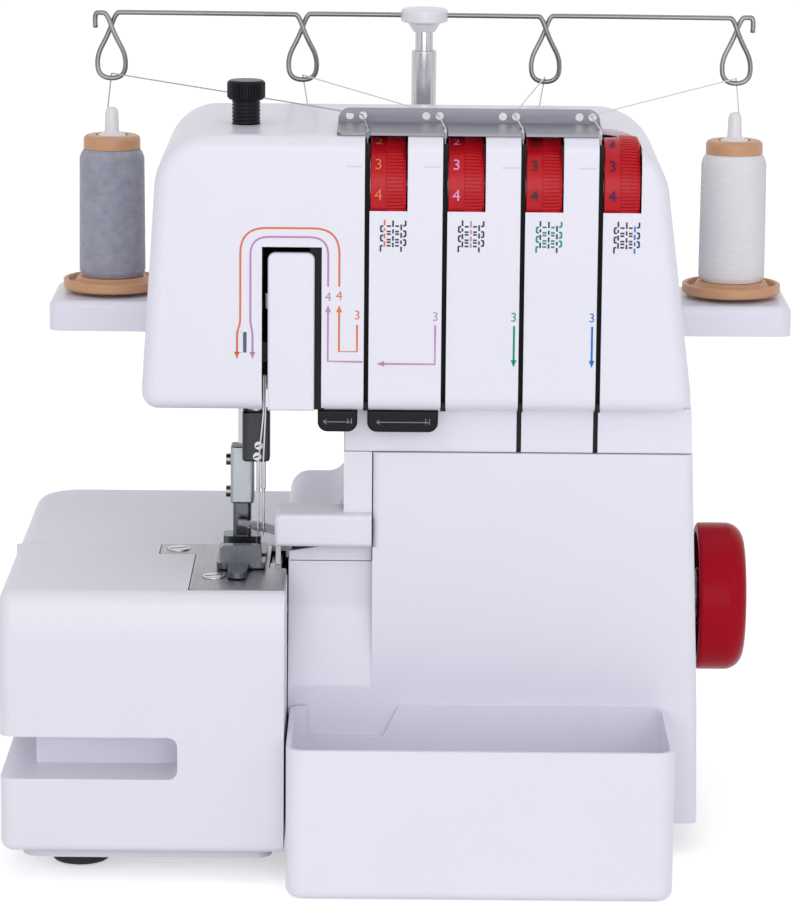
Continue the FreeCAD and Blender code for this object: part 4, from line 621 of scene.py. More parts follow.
class Tubes:
    """Smooth lines through control points and round skins along them."""

    @staticmethod
    def line(name: str, spots: Sequence[Vector]) -> list[Vector]:
        """Read a smooth line through a route from a spline.

        Args:
            name: Name for the helper curve.
            spots: Control points in the row frame.

        Returns:
            Points along the line.
        """
        data = bpy.data.curves.new(name + "_route", "CURVE")
        data.dimensions = "3D"
        data.resolution_u = 10
        spline = data.splines.new("NURBS")
        spline.points.add(len(spots) - 1)
        for point, spot in zip(spline.points, spots):
            point.co = (*spot, 1.0)
        spline.order_u = 3
        spline.use_endpoint_u = True
        holder = bpy.data.objects.new(name + "_route", data)
        mesh = bpy.data.meshes.new_from_object(holder)
        points = [v.co.copy() for v in mesh.vertices]
        bpy.data.objects.remove(holder)
        bpy.data.curves.remove(data)
        bpy.data.meshes.remove(mesh)
        return points

    @staticmethod
    def skin(maker: MeshMaker, points: Sequence[Vector], radius: float, sides: int) -> None:
        """Add a closed round tube along a line.

        Args:
            maker: Collector of the faces.
            points: Points along the line in metres.
            radius: Radius of the tube in metres.
            sides: Corners of its section.
        """
        rows = []
        side = Vector((1.0, 0.0, 0.0))
        for i, point in enumerate(points):
            ahead = (points[min(i + 1, len(points) - 1)] - points[max(i - 1, 0)]).normalized()
            side = (side - ahead * side.dot(ahead)).normalized()
            up = ahead.cross(side)
            rows.append([point + (side * math.cos(a) + up * math.sin(a)) * radius
                         for a in (2 * math.pi * k / sides for k in range(sides))])
        maker.grid(rows, closed=True)
        maker.face(rows[0])
        maker.face(rows[-1])


@dataclass
class GuideRail:
    """Wire rail whose four loops hang as smooth drops over the spools."""

    book: FinishBook
    z: float = 334.6
    radius: float = 1.1
    drop: float = 28.5
    clear: float = 1.35
    hook: float = 7.4
    sides: int = 10

    def drop_spots(self, x: float) -> list[Vector]:
        """Give the control points of one loop from left to right.

        Args:
            x: Middle of the loop in millimetres.

        Returns:
            Control points in metres.
        """
        half = ((4.6, 1.0, 0.0), (1.9, 1.0, -0.1), (-1.4, 1.0, -9.5), (-6.6, 0.4, -19.0),
                (-5.4, 0.0, -self.drop))
        left = [Layout.point(x - a, Layout.spool_y - b * self.clear, self.z + c) for a, b, c in half]
        right = [Layout.point(x + a, Layout.spool_y + b * self.clear, self.z + c)
                 for a, b, c in reversed(half)]
        return left + right

    def build(self) -> None:
        """Bend the whole rail from hook to hook."""
        spots: list[Vector] = []
        for index in range(4):
            if index == 2:
                spots.append(Layout.point(Layout.mast_x, Layout.spool_y, self.z))
            spots.extend(self.drop_spots(Layout.spool(index)))
        for end, sign in ((0, -1), (3, 1)):
            x = Layout.spool(end) + sign * self.hook
            bend = [Layout.point(x - sign * 0.6, Layout.spool_y + sign, self.z - 6.5),
                    Layout.point(x, Layout.spool_y + sign, self.z - 0.1)]
            if end == 0:
                spots[0:0] = bend
            else:
                spots.extend(reversed(bend))
        maker = MeshMaker()
        Tubes.skin(maker, Tubes.line("rail", spots), self.radius * MM, self.sides)
        piece = maker.finish("guide_rail_wire", self.book.get("wire_steel"), "mast", "bright_steel")
        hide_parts("thread_guide_rail")


@dataclass
class Threads:
    """Sewing threads from the spools to the tension discs and down to the needles."""

    book: FinishBook
    diameter: float = 0.6
    sides: int = 8
    finishes: tuple[str, ...] = ("single_grey_thread", "single_thread", "single_thread", "single_thread")

    def build(self) -> None:
        """Lay every thread."""
        for index in range(4):
            self.spool_thread(index)
        for number, start, x in ((1, -54.7, -57.4), (2, -53.9, -55.2)):
            self.needle_thread(number, start, x)

    def tube(self, name: str, points: Sequence[Vector], finish: str) -> bpy.types.Object:
        """Args:
            name: Name of the piece.
            points: Points along the line in metres.
            finish: Name of its finish.

        Returns:
            The piece, without a body.
        """
        maker = MeshMaker()
        Tubes.skin(maker, points, self.diameter / 2 * MM, self.sides)
        piece = maker.finish(name, self.book.get(finish), None, "thread")
        return piece

    def spool_thread(self, index: int) -> None:
        """Lay one thread over its loop, in two stretches that meet there.

        Args:
            index: Which spool, counted from the left.
        """
        x = Layout.spool(index)
        slot = Layout.slot(index)
        lead = -1 if index in (0, 2) else 1
        wire = (x, Layout.spool_y, 306.1)
        over = Layout.point(wire[0], wire[1], wire[2] + 2.1)
        rise = [Layout.point(x + lead * 4, 199.1, 271.7), Layout.point(x + lead * 3.5, 198.8, 283.7),
                Layout.point(x + lead * 0.5, 187.2, 305.6), over]
        aim = Vector((slot - 2.2 - x, 76.5 - Layout.spool_y, 304.1 - wire[2] - 2.1)).normalized()
        near = over / MM + Vector((aim.x, aim.y, aim.z)) * 4
        fall = [over, near * MM, Layout.point(slot - 3.4, 79.6, 304.4), Layout.point(slot - 2.2, 76.5, 304.1),
                Layout.point(slot - 1.9, 71.0, 303.7), Layout.point(slot - 0.1, 50.0, 302.4),
                Layout.point(slot - 0.1, 46.0, 302.2), Layout.point(slot - 0.1, 45.8, 298.0),
                Layout.point(slot - 0.1, 45.2, 276.0)]
        finish = self.finishes[index]
        up = self.tube(f"spool_thread_{index + 1}_rise", Tubes.line("rise", rise), finish)
        down = self.tube(f"spool_thread_{index + 1}_fall", Tubes.line("fall", fall), finish)
        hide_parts("spool_threads")
        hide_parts("spool_threads")
        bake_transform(up)
        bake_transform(down)

    def needle_thread(self, number: int, start: float, x: float) -> None:
        """Lay one thread from the take-up down to its needle.

        Args:
            number: Number of the needle.
            start: Where it leaves the take-up, in millimetres to the right.
            x: Place of the needle, in millimetres to the right.
        """
        route = [Layout.point(start, 41, 202), Layout.point(start, 41, 191), Layout.point(start, 41.2, 186),
                 Layout.point(x, 49, 161.6), Layout.point(x, 56.5, 152.6), Layout.point(x, 56.5, 146.0),
                 Layout.point(x, 56.5, 135.6)]
        piece = self.tube(f"needle_thread_{number}", Tubes.line("needle", route), "single_thread")
        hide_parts("needle_threads")
        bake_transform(piece)


@dataclass
class TensionDials:
    """Milled grips and numbers on the four tension dials."""

    book: FinishBook
    axis_y: float = 55.0
    axis_z: float = 279.0
    teeth: int = 86
    low: float = 19.95
    high: float = 20.42
    number_radius: float = 20.03
    bodies: tuple[str, ...] = ("dial_one", "dial_two", "dial_three", "dial_four")
    inks: tuple[Ink, ...] = (Ink.ORANGE, Ink.PINK, Ink.PINE, Ink.NAVY)

    def build(self) -> None:
        """Dress each dial."""
        for index, body in enumerate(self.bodies):
            self.grip(index, body)
            self.numbers(index, body)

    def spot(self, index: int, along: float, angle: float, radius: float) -> Vector:
        """Place a point of a dial by its distance along the axis, angle and radius.

        Args:
            index: Which dial, counted from the left.
            along: Distance along its axis in millimetres.
            angle: Turn round its axis in radians.
            radius: Distance from its axis in millimetres.

        Returns:
            The point in metres.
        """
        x = Layout.slot(index) + 1.3 + along
        return Layout.point(x, self.axis_y - radius * math.cos(angle), self.axis_z + radius * math.sin(angle))

    def grip(self, index: int, body: str) -> None:
        """Mill the right half of a dial.

        Args:
            index: Which dial, counted from the left.
            body: The body that it moves with.
        """
        maker = MeshMaker()
        stations = ((6.55, -0.9), (6.6, 0.0), (10.2, 0.0), (13.2, -0.35), (13.9, -0.8), (13.95, -1.6))
        rows = []
        for along, drop in stations:
            ring = []
            for tooth in range(self.teeth):
                for share, reach in ((0.0, self.high), (0.62, self.high), (0.70, self.low), (0.92, self.low)):
                    angle = 2 * math.pi * (tooth + share) / self.teeth
                    ring.append(self.spot(index, along, angle, reach + drop))
            rows.append(ring)
        maker.grid(rows, closed=True)
        maker.finish(f"dial_grip_{index + 1}", self.book.get("dial_red"), body, "dial_red", smooth=False)

    def numbers(self, index: int, body: str) -> None:
        """Wrap the numbers 0 to 9 round the left half of a dial.

        Args:
            index: Which dial, counted from the left.
            body: The body that it moves with.
        """
        maker = MeshMaker()
        for value in range(10):
            middle = math.radians(31.0 + (3 - value) * 36.0)
            for face in Lettering.faces(str(value), 4.6):
                maker.face([self.spot(index, 3.2 + u, middle + v / self.number_radius, self.number_radius)
                            for u, v in face])
        ink = self.book.ink(self.inks[index])
        maker.finish(f"dial_numbers_{index + 1}", ink, body, "dial_red", smooth=False)


@dataclass
class PressureKnob:
    """Milled grip and screw thread of the pressure screw."""

    book: FinishBook
    x: float = -63.2
    y: float = 75.0
    ridges: int = 40
    root: float = 7.42
    crest: float = 7.85
    grip_low: float = 311.6
    grip_high: float = 317.5
    thread_low: float = 296.0
    thread_high: float = 310.6
    thread_root: float = 5.57
    thread_crest: float = 5.88
    pitch: float = 1.5
    segments: int = 40
    rows_per_turn: int = 6

    def build(self) -> None:
        """Mill the grip and cut the thread."""
        self.grip()
        self.thread()

    def spot(self, angle: float, radius: float, z: float) -> Vector:
        """Place a point round the axis of the screw.

        Args:
            angle: Turn round the axis in radians.
            radius: Distance from the axis in millimetres.
            z: Height in millimetres.

        Returns:
            The point in metres.
        """
        return Layout.point(self.x + radius * math.cos(angle), self.y + radius * math.sin(angle), z)

    def grip(self) -> None:
        """Mill ridges round the head."""
        maker = MeshMaker()
        rows = []
        for z, drop in ((self.grip_low - 0.5, 0.5), (self.grip_low, 0.0), (self.grip_high, 0.0),
                        (self.grip_high + 0.5, 0.5)):
            ring = []
            for ridge in range(self.ridges):
                for share, reach in ((0.0, self.root), (0.25, self.crest),
                                     (0.65, self.crest), (0.9, self.root)):
                    ring.append(self.spot(2 * math.pi * (ridge + share) / self.ridges, reach - drop, z))
            rows.append(ring)
        maker.grid(rows, closed=True)
        finish = self.book.get("black_moulding")
        maker.finish("pressure_knob_grip", finish, "adjuster", "black_plastic", smooth=False)

    def thread(self) -> None:
        """Cut a rising thread round the stem."""
        maker = MeshMaker()
        count = round((self.thread_high - self.thread_low) / self.pitch * self.rows_per_turn)
        half = (self.thread_crest - self.thread_root) / 2
        rows = []
        for step in range(count + 1):
            z = self.thread_low + (self.thread_high - self.thread_low) * step / count
            ring = []
            for k in range(self.segments):
                turn = z / self.pitch - k / self.segments
                ring.append(self.spot(2 * math.pi * k / self.segments,
                                      self.thread_root + half * (1 + math.cos(2 * math.pi * turn)), z))
            rows.append(ring)
        maker.grid(rows, closed=True)
        maker.finish("pressure_screw_thread", self.book.get("black_moulding"), "adjuster", "black_plastic")


class Lettering:
    """Flat outlines of digits."""

    @staticmethod
    def faces(text: str, height: float) -> list[list[Flat]]:
        """Give the faces of a digit, centred on zero.

        Args:
            text: One digit.
            height: Height of the digit in millimetres.

        Returns:
            Polygons as lists of points.
        """
        data = bpy.data.curves.new("digit", "FONT")
        data.body = text
        data.align_x = "CENTER"
        data.resolution_u = 4
        holder = bpy.data.objects.new("digit", data)
        bpy.context.scene.collection.objects.link(holder)
        bpy.context.view_layer.update()
        mesh = bpy.data.meshes.new_from_object(holder.evaluated_get(bpy.context.evaluated_depsgraph_get()))
        low = min(v.co.y for v in mesh.vertices)
        high = max(v.co.y for v in mesh.vertices)
        scale = height / (high - low)
        middle = (low + high) / 2
        spots = [(v.co.x * scale, (v.co.y - middle) * scale) for v in mesh.vertices]
        shapes = [[spots[i] for i in p.vertices] for p in mesh.polygons]
        bpy.data.objects.remove(holder)
        bpy.data.curves.remove(data)
        bpy.data.meshes.remove(mesh)
        return shapes


@dataclass
class PrintedMarks:
    """Thread routes, stitch signs and index lines printed on the head, and a pill of painted shade at the
    guide slot.
    """

    book: FinishBook
    lift: float = 0.05
    stroke: float = 0.82

    def __post_init__(self) -> None:
        """Start with nothing printed."""
        self.makers: dict[Ink, MeshMaker] = {}

    def maker(self, ink: Ink) -> MeshMaker:
        """Give the collector of one ink.

        Args:
            ink: The ink.

        Returns:
            Its collector, made at first use.
        """
        return self.makers.setdefault(ink, MeshMaker())

    def put(self, ink: Ink, shape: Sequence[Flat]) -> None:
        """Print one flat shape on the front of the head.

        Args:
            ink: The ink.
            shape: Corners as (x, z) in millimetres.
        """
        self.maker(ink).face([Layout.point(x, Layout.face_y - self.lift, z) for x, z in shape])

    @staticmethod
    def soften(corners: Sequence[Flat], radius: float) -> list[Flat]:
        """Round the corners of an open line.

        Args:
            corners: Corners as (x, z) in millimetres.
            radius: How far from each corner the bend starts.

        Returns:
            Points along the rounded line.
        """
        line = [Vector(corners[0])]
        for before, here, after in zip(corners, corners[1:], corners[2:]):
            spot = Vector(here)
            toward = Vector(before) - spot
            onward = Vector(after) - spot
            reach = min(radius, toward.length * 0.48, onward.length * 0.48)
            first = spot + toward.normalized() * reach
            last = spot + onward.normalized() * reach
            for k in range(9):
                t = k / 8
                line.append(first * (1 - t) ** 2 + spot * (2 * t * (1 - t)) + last * t ** 2)
        line.append(Vector(corners[-1]))
        return [(p.x, p.y) for p in line]

    def ribbon(self, ink: Ink, corners: Sequence[Flat], radius: float = 0.0,
               width: float | None = None) -> None:
        """Print a line of one width.

        Args:
            ink: The ink.
            corners: Corners as (x, z) in millimetres.
            radius: How far from each corner the bend starts.
            width: Width of the line, or None for the usual one.
        """
        line = [Vector(p) for p in (self.soften(corners, radius) if radius else corners)]
        half = (width or self.stroke) / 2
        left = []
        right = []
        for i, spot in enumerate(line):
            ahead = (line[min(i + 1, len(line) - 1)] - line[max(i - 1, 0)]).normalized()
            side = Vector((-ahead.y, ahead.x)) * half
            left.append(spot + side)
            right.append(spot - side)
        for i in range(len(line) - 1):
            self.put(ink, [left[i], left[i + 1], right[i + 1], right[i]])

    def arrow(self, ink: Ink, tip: Flat, heading: Flat) -> None:
        """Print an arrow head.

        Args:
            ink: The ink.
            tip: Its point as (x, z) in millimetres.
            heading: The way that it points.
        """
        ahead = Vector(heading).normalized()
        side = Vector((-ahead.y, ahead.x))
        end = Vector(tip)
        self.put(ink, [end, end - ahead * 3.0 + side * 1.2, end - ahead * 3.0 - side * 1.2])

    def digit(self, ink: Ink, text: str, x: float, z: float) -> None:
        """Print one digit.

        Args:
            ink: The ink.
            text: The digit.
            x: Its middle in millimetres to the right.
            z: Its middle in millimetres up.
        """
        for shape in Lettering.faces(text, 3.7):
            self.put(ink, [(x + u, z + v) for u, v in shape])

    def routes(self) -> None:
        """Print the coloured thread routes with their arrows."""
        self.ribbon(Ink.ORANGE, [
            (-65.4, 212), (-65.4, 220.6), (-64.1, 224.2), (-64.1, 263.2), (-24.1, 263.2),
            (-24.1, 239.5)], 10.5)
        self.arrow(Ink.ORANGE, (-65.4, 209.4), (0, -1))
        self.ribbon(Ink.LILAC, [
            (-59.1, 212), (-59.1, 220.6), (-60.0, 224.2), (-60.0, 259.6), (-28.6, 259.6),
            (-28.6, 239.5)], 7.5)
        self.arrow(Ink.LILAC, (-59.1, 209.4), (0, -1))
        ends = [(math.cos(a), math.sin(a)) for a in (math.pi * k / 8 for k in range(17))]
        # Dark pill: painted shade standing in for the guide slot's opening.
        self.put(Ink.STONE, [(-62.2 + 0.75 * u, (220.0 if v >= 0 else 212.8) + 0.75 * v)
                             for u, v in ends[:-1]])
        self.ribbon(Ink.ORANGE, [(-24.1, 229), (-24.1, 212.9), (-16.8, 212.9), (-16.8, 224)])
        self.arrow(Ink.ORANGE, (-24.1, 232), (0, 1))
        self.ribbon(Ink.LILAC, [(-28.6, 229), (-28.6, 208.9), (-14.5, 208.7)])
        self.arrow(Ink.LILAC, (-28.6, 232), (0, 1))
        self.ribbon(Ink.LILAC, [(-6.0, 208.0), (14.8, 208.0), (14.8, 224)])
        self.arrow(Ink.LILAC, (-8.8, 208.0), (-1, 0))
        for ink, x in ((Ink.GREEN, 46.7), (Ink.BLUE, 78.3)):
            self.ribbon(ink, [(x, 224), (x, 209.8)])
            self.arrow(ink, (x, 207.0), (0, -1))
            self.digit(ink, "3", x - 0.2, 227.6)
        self.digit(Ink.LILAC, "4", -28.6, 235.4)
        self.digit(Ink.ORANGE, "4", -24.1, 235.9)
        self.digit(Ink.ORANGE, "3", -16.8, 228.0)
        self.digit(Ink.LILAC, "3", 14.8, 227.6)

    def stitch(self, index: int, ink: Ink, lit: str) -> None:
        """Print the sign of a seam with one of its threads in colour.

        Args:
            index: Which dial it stands under.
            ink: Colour of the thread that the dial sets.
            lit: Which part is coloured: left, middle, right or loops.
        """
        x = Layout.slot(index) + 5.4
        top = 267.0

        def pick(part: str) -> Ink:
            """Give the ink of one part of the sign."""
            return ink if part == lit or (lit == "loops" and part == "edge") else Ink.SLATE

        def line(part: str, corners: Sequence[Flat], radius: float = 0.0) -> None:
            """Print one stroke, measured from the top left of the sign."""
            self.ribbon(pick(part), [(x + a, top - b) for a, b in corners], radius, 0.72)

        strands = (("left", 1.7, ((0.0, 2.3), (3.3, 4.6), (5.6, 7.7), (8.7, 11.0))),
                   ("middle", 5.1, ((0.3, 2.9), (3.9, 5.6), (6.6, 8.6), (9.3, 11.2))),
                   ("right", 8.4, ((1.9, 4.3), (5.3, 7.4), (8.4, 9.9), (10.9, 13.0))))
        for part, across, dashes in strands:
            for low, high in dashes:
                line(part, [(across, low), (across, high)])
        for level in (2.6, 4.8, 5.9, 8.1, 9.2, 10.6):
            for left, right in ((2.6, 4.2), (6.0, 7.5)):
                line("loops", [(left, level), (right, level)])
        for high, low in ((2.6, 4.8), (6.4, 8.6)):
            line("loops", [(1.2, high), (0.2, high), (0.2, low), (1.2, low)], 1.0)
        line("loops", [(1.0, 10.6), (0.1, 10.6), (0.1, 13.0)], 0.8)
        line("edge", [(9.2, 2.4), (10.2, 2.4), (10.2, 0.3)], 0.8)
        for high, low in ((4.6, 6.8), (8.2, 10.4)):
            line("edge", [(9.2, high), (10.2, high), (10.2, low), (9.2, low)], 1.0)

    def build(self) -> None:
        """Print everything and make one piece of each ink."""
        self.routes()
        seams = ((Ink.ORANGE, "left"), (Ink.LILAC, "middle"), (Ink.GREEN, "loops"), (Ink.BLUE, "right"))
        for index, (ink, lit) in enumerate(seams):
            self.stitch(index, ink, lit)
            x = Layout.slot(index)
            self.ribbon(Ink.MIST, [(x - 8.8, 288.4), (x - 2.0, 288.4)], width=0.6)
        for ink, maker in self.makers.items():
            name = f"print_{ink.name.lower()}"
            maker.finish(name, self.book.ink(ink), "machine", "body_plastic", smooth=False)


@dataclass
class SmallDetails:
    """Black channels and sheets painted as shade behind the thread slots, marks on the guides and driver
    slots painted as shade in the screw heads.
    """

    book: FinishBook
    slot_half: float = 1.1
    head_low: float = 188.2
    channel_low: float = 190.8
    channel_high: float = 263.5
    screen_high: float = 297.0
    long_slots: tuple[int, ...] = (2, 3)
    guide_face: float = 39.46
    guide_mark_z: float = 183.2
    guide_marks: tuple[Flat, ...] = ((-30.3, -18.9), (-8.6, 12.9))
    plate_screws: tuple[Flat, ...] = ((-91.4, 81.5), (-74.6, 31.5))
    needle_screws: tuple[Flat, ...] = ((-57.6, 166.2), (-57.0, 170.8))
    presser_screws: tuple[float, ...] = (146.4, 160.0)

    def channel(self, name: str, x: float, low: float, high: float, front: float, back: float) -> None:
        """Make a black U channel behind one slot, painted shade inside the opening.

        Args:
            name: Name of the piece.
            x: Middle of the slot.
            low: Lower end.
            high: Upper end.
            front: Open side.
            back: Floor of the channel.
        """
        maker = MeshMaker()
        inner, outer, floor = 1.05, 1.6, 0.6
        profile = [(-inner, front), (-inner, back), (inner, back), (inner, front), (outer, front),
                   (outer, back + floor), (-outer, back + floor), (-outer, front)]
        rows = [[Layout.point(x + a, b, z) for a, b in profile] for z in (low, high)]
        maker.grid(rows, closed=True)
        for row in rows:
            maker.face([row[0], row[1], row[6], row[7]])
            maker.face([row[1], row[2], row[5], row[6]])
            maker.face([row[2], row[3], row[4], row[5]])
        maker.finish(name, self.book.ink(Ink.BLACK), "machine", "black_plastic", smooth=False)

    def plate(self, name: str, finish: str, body: str, slot: str, outline: Sequence[Flat], near: float,
              far: float) -> None:
        """Make a flat plate that faces the front.

        Args:
            name: Name of the piece.
            finish: Name of its finish.
            body: The body that it moves with.
            slot: Material slot of the record.
            outline: Corners as (x, z) in millimetres.
            near: Front face.
            far: Back face.
        """
        maker = MeshMaker()
        rows = [[Layout.point(x, y, z) for x, z in outline] for y in (near, far)]
        maker.grid(rows, closed=True)
        for row in rows:
            maker.face(row)
        maker.finish(name, self.book.get(finish), body, slot, smooth=False)

    def guide_mark(self, name: str, left: float, right: float, z: float) -> None:
        """Draw the thread sign of one lower guide: a line with a hook and two short bars.

        Args:
            name: Name of the piece.
            left: Left end of the line.
            right: Right end of the line.
            z: Height of the line.
        """
        maker = MeshMaker()
        strokes = (((left, z), (right, z)),
                   ((left, z), (left + 1.0, z + 0.9)), ((left, z), (left + 1.3, z - 0.9)),
                   ((right - 1.5, z - 0.8), (right - 1.5, z + 1.5)), ((right, z - 0.8), (right, z + 1.5)))
        for first, last in strokes:
            along = Vector((last[0] - first[0], last[1] - first[1])).normalized()
            side = Vector((-along.y, along.x)) * 0.11
            maker.face([Layout.point(a + k * side.x, self.guide_face, b + k * side.y)
                        for (a, b), k in ((first, 1), (last, 1), (last, -1), (first, -1))])
        maker.finish(name, self.book.ink(Ink.ASH), "machine", "black_plastic", smooth=False)

    def nick(self, name: str, body: str, centre: Spot, along: Spot, across: Spot) -> None:
        """Paint the driver slot of a screw head as a flat black quad, painted shade standing in for the
        groove.

        Args:
            name: Name of the piece.
            body: The body that the screw moves with.
            centre: Middle of the slot in millimetres.
            along: Half its length, as a step.
            across: Half its width, as a step.
        """
        maker = MeshMaker()
        middle = Layout.point(*centre)
        a = Vector(along) * MM
        b = Vector(across) * MM
        maker.face([middle + a + b, middle - a + b, middle - a - b, middle + a - b])
        maker.finish(name, self.book.ink(Ink.BLACK), body, "dark_steel", smooth=False)

    def bar(self, name: str, left: float, right: float, low: float, high: float,
            near: float, far: float) -> None:
        """Make a black upright bar that rides on the machine, painted shade in an opening.

        Args:
            name: Name of the piece.
            left: Left edge.
            right: Right edge.
            low: Lower edge.
            high: Upper edge.
            near: Front face.
            far: Back face.
        """
        self.plate(name, "ink_black", "machine", "black_plastic",
                   [(left, low), (right, low), (right, high), (left, high)], near, far)

    def slots(self) -> None:
        """Paint shade into the thread slots and the right gap of the take-up cover with black sheets."""
        half = self.slot_half
        for index in range(4):
            x = Layout.slot(index)
            number = index + 1
            # Black U channel, sheet and end of each slot: painted shade in the openings.
            self.channel(f"slot_channel_{number}", x, self.channel_low, self.channel_high, 38.6, 42.6)
            self.bar(f"slot_screen_{number}", x - 1.5, x + half, self.channel_high, self.screen_high,
                     42.2, 42.9)
            self.bar(f"slot_end_{number}", x - half, x + half, self.head_low, 191.8, 37.9, 38.6)
        # Black bars inside the cuts of the long slots: painted shade.
        for index in self.long_slots:
            x = Layout.slot(index)
            self.bar(f"slot_foot_{index + 1}", x - half, x + half, 169.3, 187.5, 50.6, 52.0)
        # Black sheet in the right gap of the take-up cover: painted shade.
        self.bar("take_up_screen", -36.0, -30.0, 188.4, 255.0, 38.5, 39.2)

    def inserts(self) -> None:
        """Fill the guide slot and close the top of the chute."""
        self.plate("guide_slot_insert", "white_moulding", "machine", "body_plastic",
                   [(-64.85, 212.2), (-63.15, 212.2), (-63.15, 220.8), (-64.85, 220.8)], 36.0, 38.0)
        chute = [(-44.4, 121.7), (-10.4, 121.7), (-10.4, 129.0), (-26.5, 128.7), (-44.4, 125.7)]
        self.plate("chute_lip", "white_moulding", "front_door", "body_plastic", chute, 54.4, 56.7)

    def screws(self) -> None:
        """Paint the driver slots of every screw in view as black shade."""
        for number, (x, y) in enumerate(self.plate_screws, 1):
            self.nick(f"plate_screw_slot_{number}", "machine", (x, y, 120.63),
                      (3.6, 1.2, 0), (-0.17, 0.5, 0))
        for number, (x, z) in enumerate(self.needle_screws, 1):
            self.nick(f"needle_screw_slot_{number}", "needle_carrier", (x, 50.57, z),
                      (1.2, 0, 0.5), (-0.12, 0, 0.28))
        for number, z in enumerate(self.presser_screws, 1):
            self.nick(f"presser_screw_slot_{number}", "presser", (-71.34, 75, z),
                      (0, 1.8, 0.6), (0, -0.12, 0.36))

    def build(self) -> None:
        """Make every small detail."""
        self.slots()
        self.inserts()
        for number, (left, right) in enumerate(self.guide_marks, 1):
            self.guide_mark(f"guide_mark_{number}", left, right, self.guide_mark_z)
        self.screws()


@dataclass(frozen=True)
class Lamp:
    """A square soft box: where it hangs, its side in metres and its power in watts."""

    name: str
    spot: Spot
    size: float
    power: float


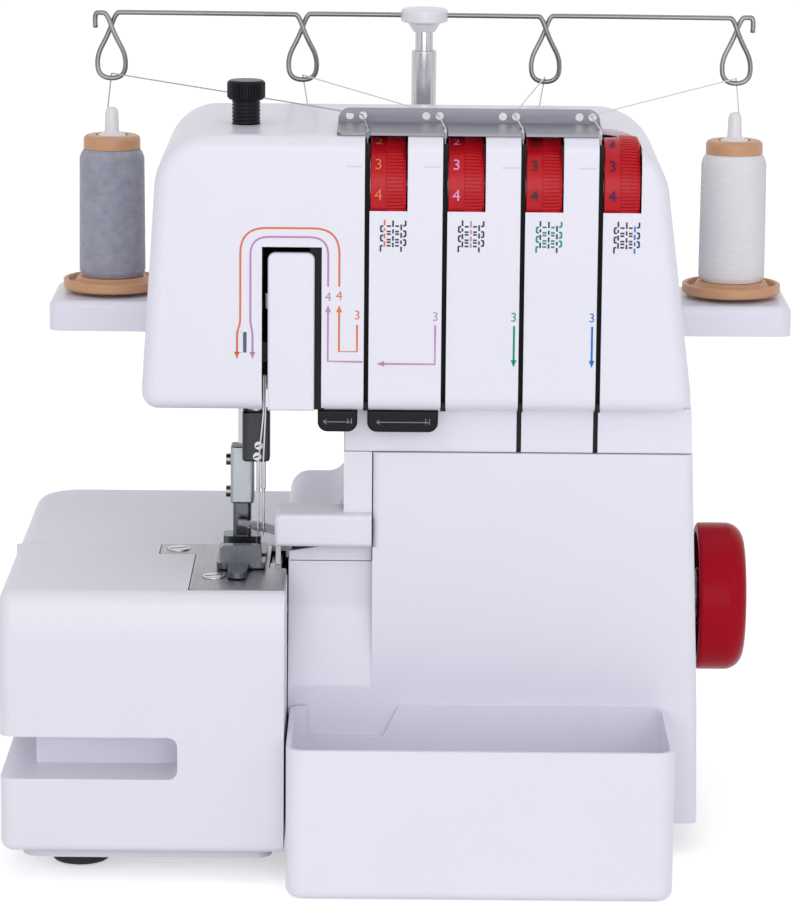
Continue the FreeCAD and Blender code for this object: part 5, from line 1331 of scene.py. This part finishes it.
@dataclass
class Studio:
    """Floor, soft light, white surroundings and the camera."""

    eye: Spot = (-0.00515, -1.7645, 0.519)
    pitch: float = 11.55
    yaw: float = 0.0
    roll: float = 0.5
    lens: float = 169.24
    aim: Spot = (0.0, 0.0, 0.15)
    ambient: float = 0.55
    floor_glow: float = 0.5
    floor_half: float = 4.0
    floor_z: float = -0.0005
    lamps: tuple[Lamp, ...] = (
        Lamp("key", (-1.1, -1.5, 1.5), 1.2, 4.0), Lamp("front", (0.1, -2.3, 0.55), 1.5, 15.0),
        Lamp("fill", (1.3, -1.3, 0.9), 1.0, 2.5), Lamp("top", (0.0, 0.2, 1.6), 1.0, 1.5))

    def light(self, lamp: Lamp) -> None:
        """Hang one soft box that faces the machine.

        Args:
            lamp: The soft box.
        """
        data = bpy.data.lights.new(lamp.name, "AREA")
        data.size = lamp.size
        data.energy = lamp.power
        holder = bpy.data.objects.new(lamp.name, data)
        holder.location = lamp.spot
        holder.rotation_euler = (Vector(self.aim) - Vector(lamp.spot)).to_track_quat("-Z", "Y").to_euler()
        bpy.context.scene.collection.objects.link(holder)

    @staticmethod
    def seen(tree: bpy.types.NodeTree) -> bpy.types.NodeSocket:
        """Tell rays that see the background from rays that light the machine.

        Args:
            tree: The node tree of the floor or the world.

        Returns:
            A socket that is 1 for seen, mirrored and refracted rays and 0 for the rest.
        """
        path = tree.nodes.new("ShaderNodeLightPath")
        total = path.outputs["Is Camera Ray"]
        for name in ("Is Glossy Ray", "Is Transmission Ray"):
            add = tree.nodes.new("ShaderNodeMath")
            add.use_clamp = True
            tree.links.new(total, add.inputs[0])
            tree.links.new(path.outputs[name], add.inputs[1])
            total = add.outputs[0]
        return total

    def floor(self) -> None:
        """Lay a pale sweep that looks white and keeps its shadows."""
        data = bpy.data.meshes.new("floor")
        half = self.floor_half
        corners = [(x * half, y * half, self.floor_z) for x, y in ((-1, -1), (1, -1), (1, 1), (-1, 1))]
        data.from_pydata(corners, [], [(0, 1, 2, 3)])
        plane = bpy.data.objects.new("floor", data)
        material = bpy.data.materials.new("floor_paper")
        material.use_nodes = True
        shader = material.node_tree.nodes["Principled BSDF"]
        shader.inputs["Base Color"].default_value = (0.93, 0.93, 0.94, 1)
        shader.inputs["Roughness"].default_value = 0.9
        shader.inputs["Emission Color"].default_value = (1.0, 1.0, 1.0, 1.0)
        glow = material.node_tree.nodes.new("ShaderNodeMath")
        glow.operation = "MULTIPLY"
        glow.inputs[1].default_value = self.floor_glow
        material.node_tree.links.new(self.seen(material.node_tree), glow.inputs[0])
        material.node_tree.links.new(glow.outputs[0], shader.inputs["Emission Strength"])
        data.materials.append(material)
        bpy.context.scene.collection.objects.link(plane)

    def surroundings(self) -> None:
        """Make a white world whose light is softer than its look."""
        world = bpy.data.worlds.new("studio")
        bpy.context.scene.world = world
        world.use_nodes = True
        nodes = world.node_tree.nodes
        links = world.node_tree.links
        shade = nodes["Background"]
        shade.inputs["Color"].default_value = (0.97, 0.97, 1.0, 1)
        shade.inputs["Strength"].default_value = self.ambient
        white = nodes.new("ShaderNodeBackground")
        white.inputs["Color"].default_value = (1, 1, 1, 1)
        white.inputs["Strength"].default_value = 1.0
        mix = nodes.new("ShaderNodeMixShader")
        links.new(self.seen(world.node_tree), mix.inputs["Fac"])
        links.new(shade.outputs[0], mix.inputs[1])
        links.new(white.outputs[0], mix.inputs[2])
        links.new(mix.outputs[0], nodes["World Output"].inputs["Surface"])

    def camera(self) -> None:
        """Stand the camera where the photograph was taken from."""
        data = bpy.data.cameras.new("camera")
        data.sensor_width = 36.0
        data.lens = self.lens
        data.clip_end = 50.0
        eye = bpy.data.objects.new("camera", data)
        turn = (Matrix.Rotation(math.radians(self.yaw), 4, "Z")
                @ Matrix.Rotation(math.radians(90 - self.pitch), 4, "X")
                @ Matrix.Rotation(math.radians(self.roll), 4, "Z"))
        eye.matrix_world = Matrix.Translation(self.eye) @ turn
        bpy.context.scene.collection.objects.link(eye)
        bpy.context.scene.camera = eye

    def build(self) -> None:
        """Set up the whole studio."""
        self.floor()
        self.surroundings()
        for lamp in self.lamps:
            self.light(lamp)
        self.camera()
        bpy.context.scene.view_settings.view_transform = "Standard"


def main() -> None:
    """Build the scene in order."""
    logging.basicConfig(level=logging.INFO, format="%(name)s: %(message)s")
    book = FinishBook()
    steps: tuple[tuple[str, Callable[[], None]], ...] = (
        ("solids", CadFinishes(book).dress),
        ("spool packs", SpoolPacks(book).build),
        ("spool pins", SpoolPins(book).build),
        ("presser spring", PresserSpring(book).build),
        ("guide rail", GuideRail(book).build),
        ("threads", Threads(book).build),
        ("dials", TensionDials(book).build),
        ("pressure knob", PressureKnob(book).build),
        ("printed marks", PrintedMarks(book).build),
        ("small details", SmallDetails(book).build),
        ("studio", Studio().build),
    )
    for name, step in steps:
        step()
        LOG.info("%s done", name)


if __name__ == "__main__":
    main()
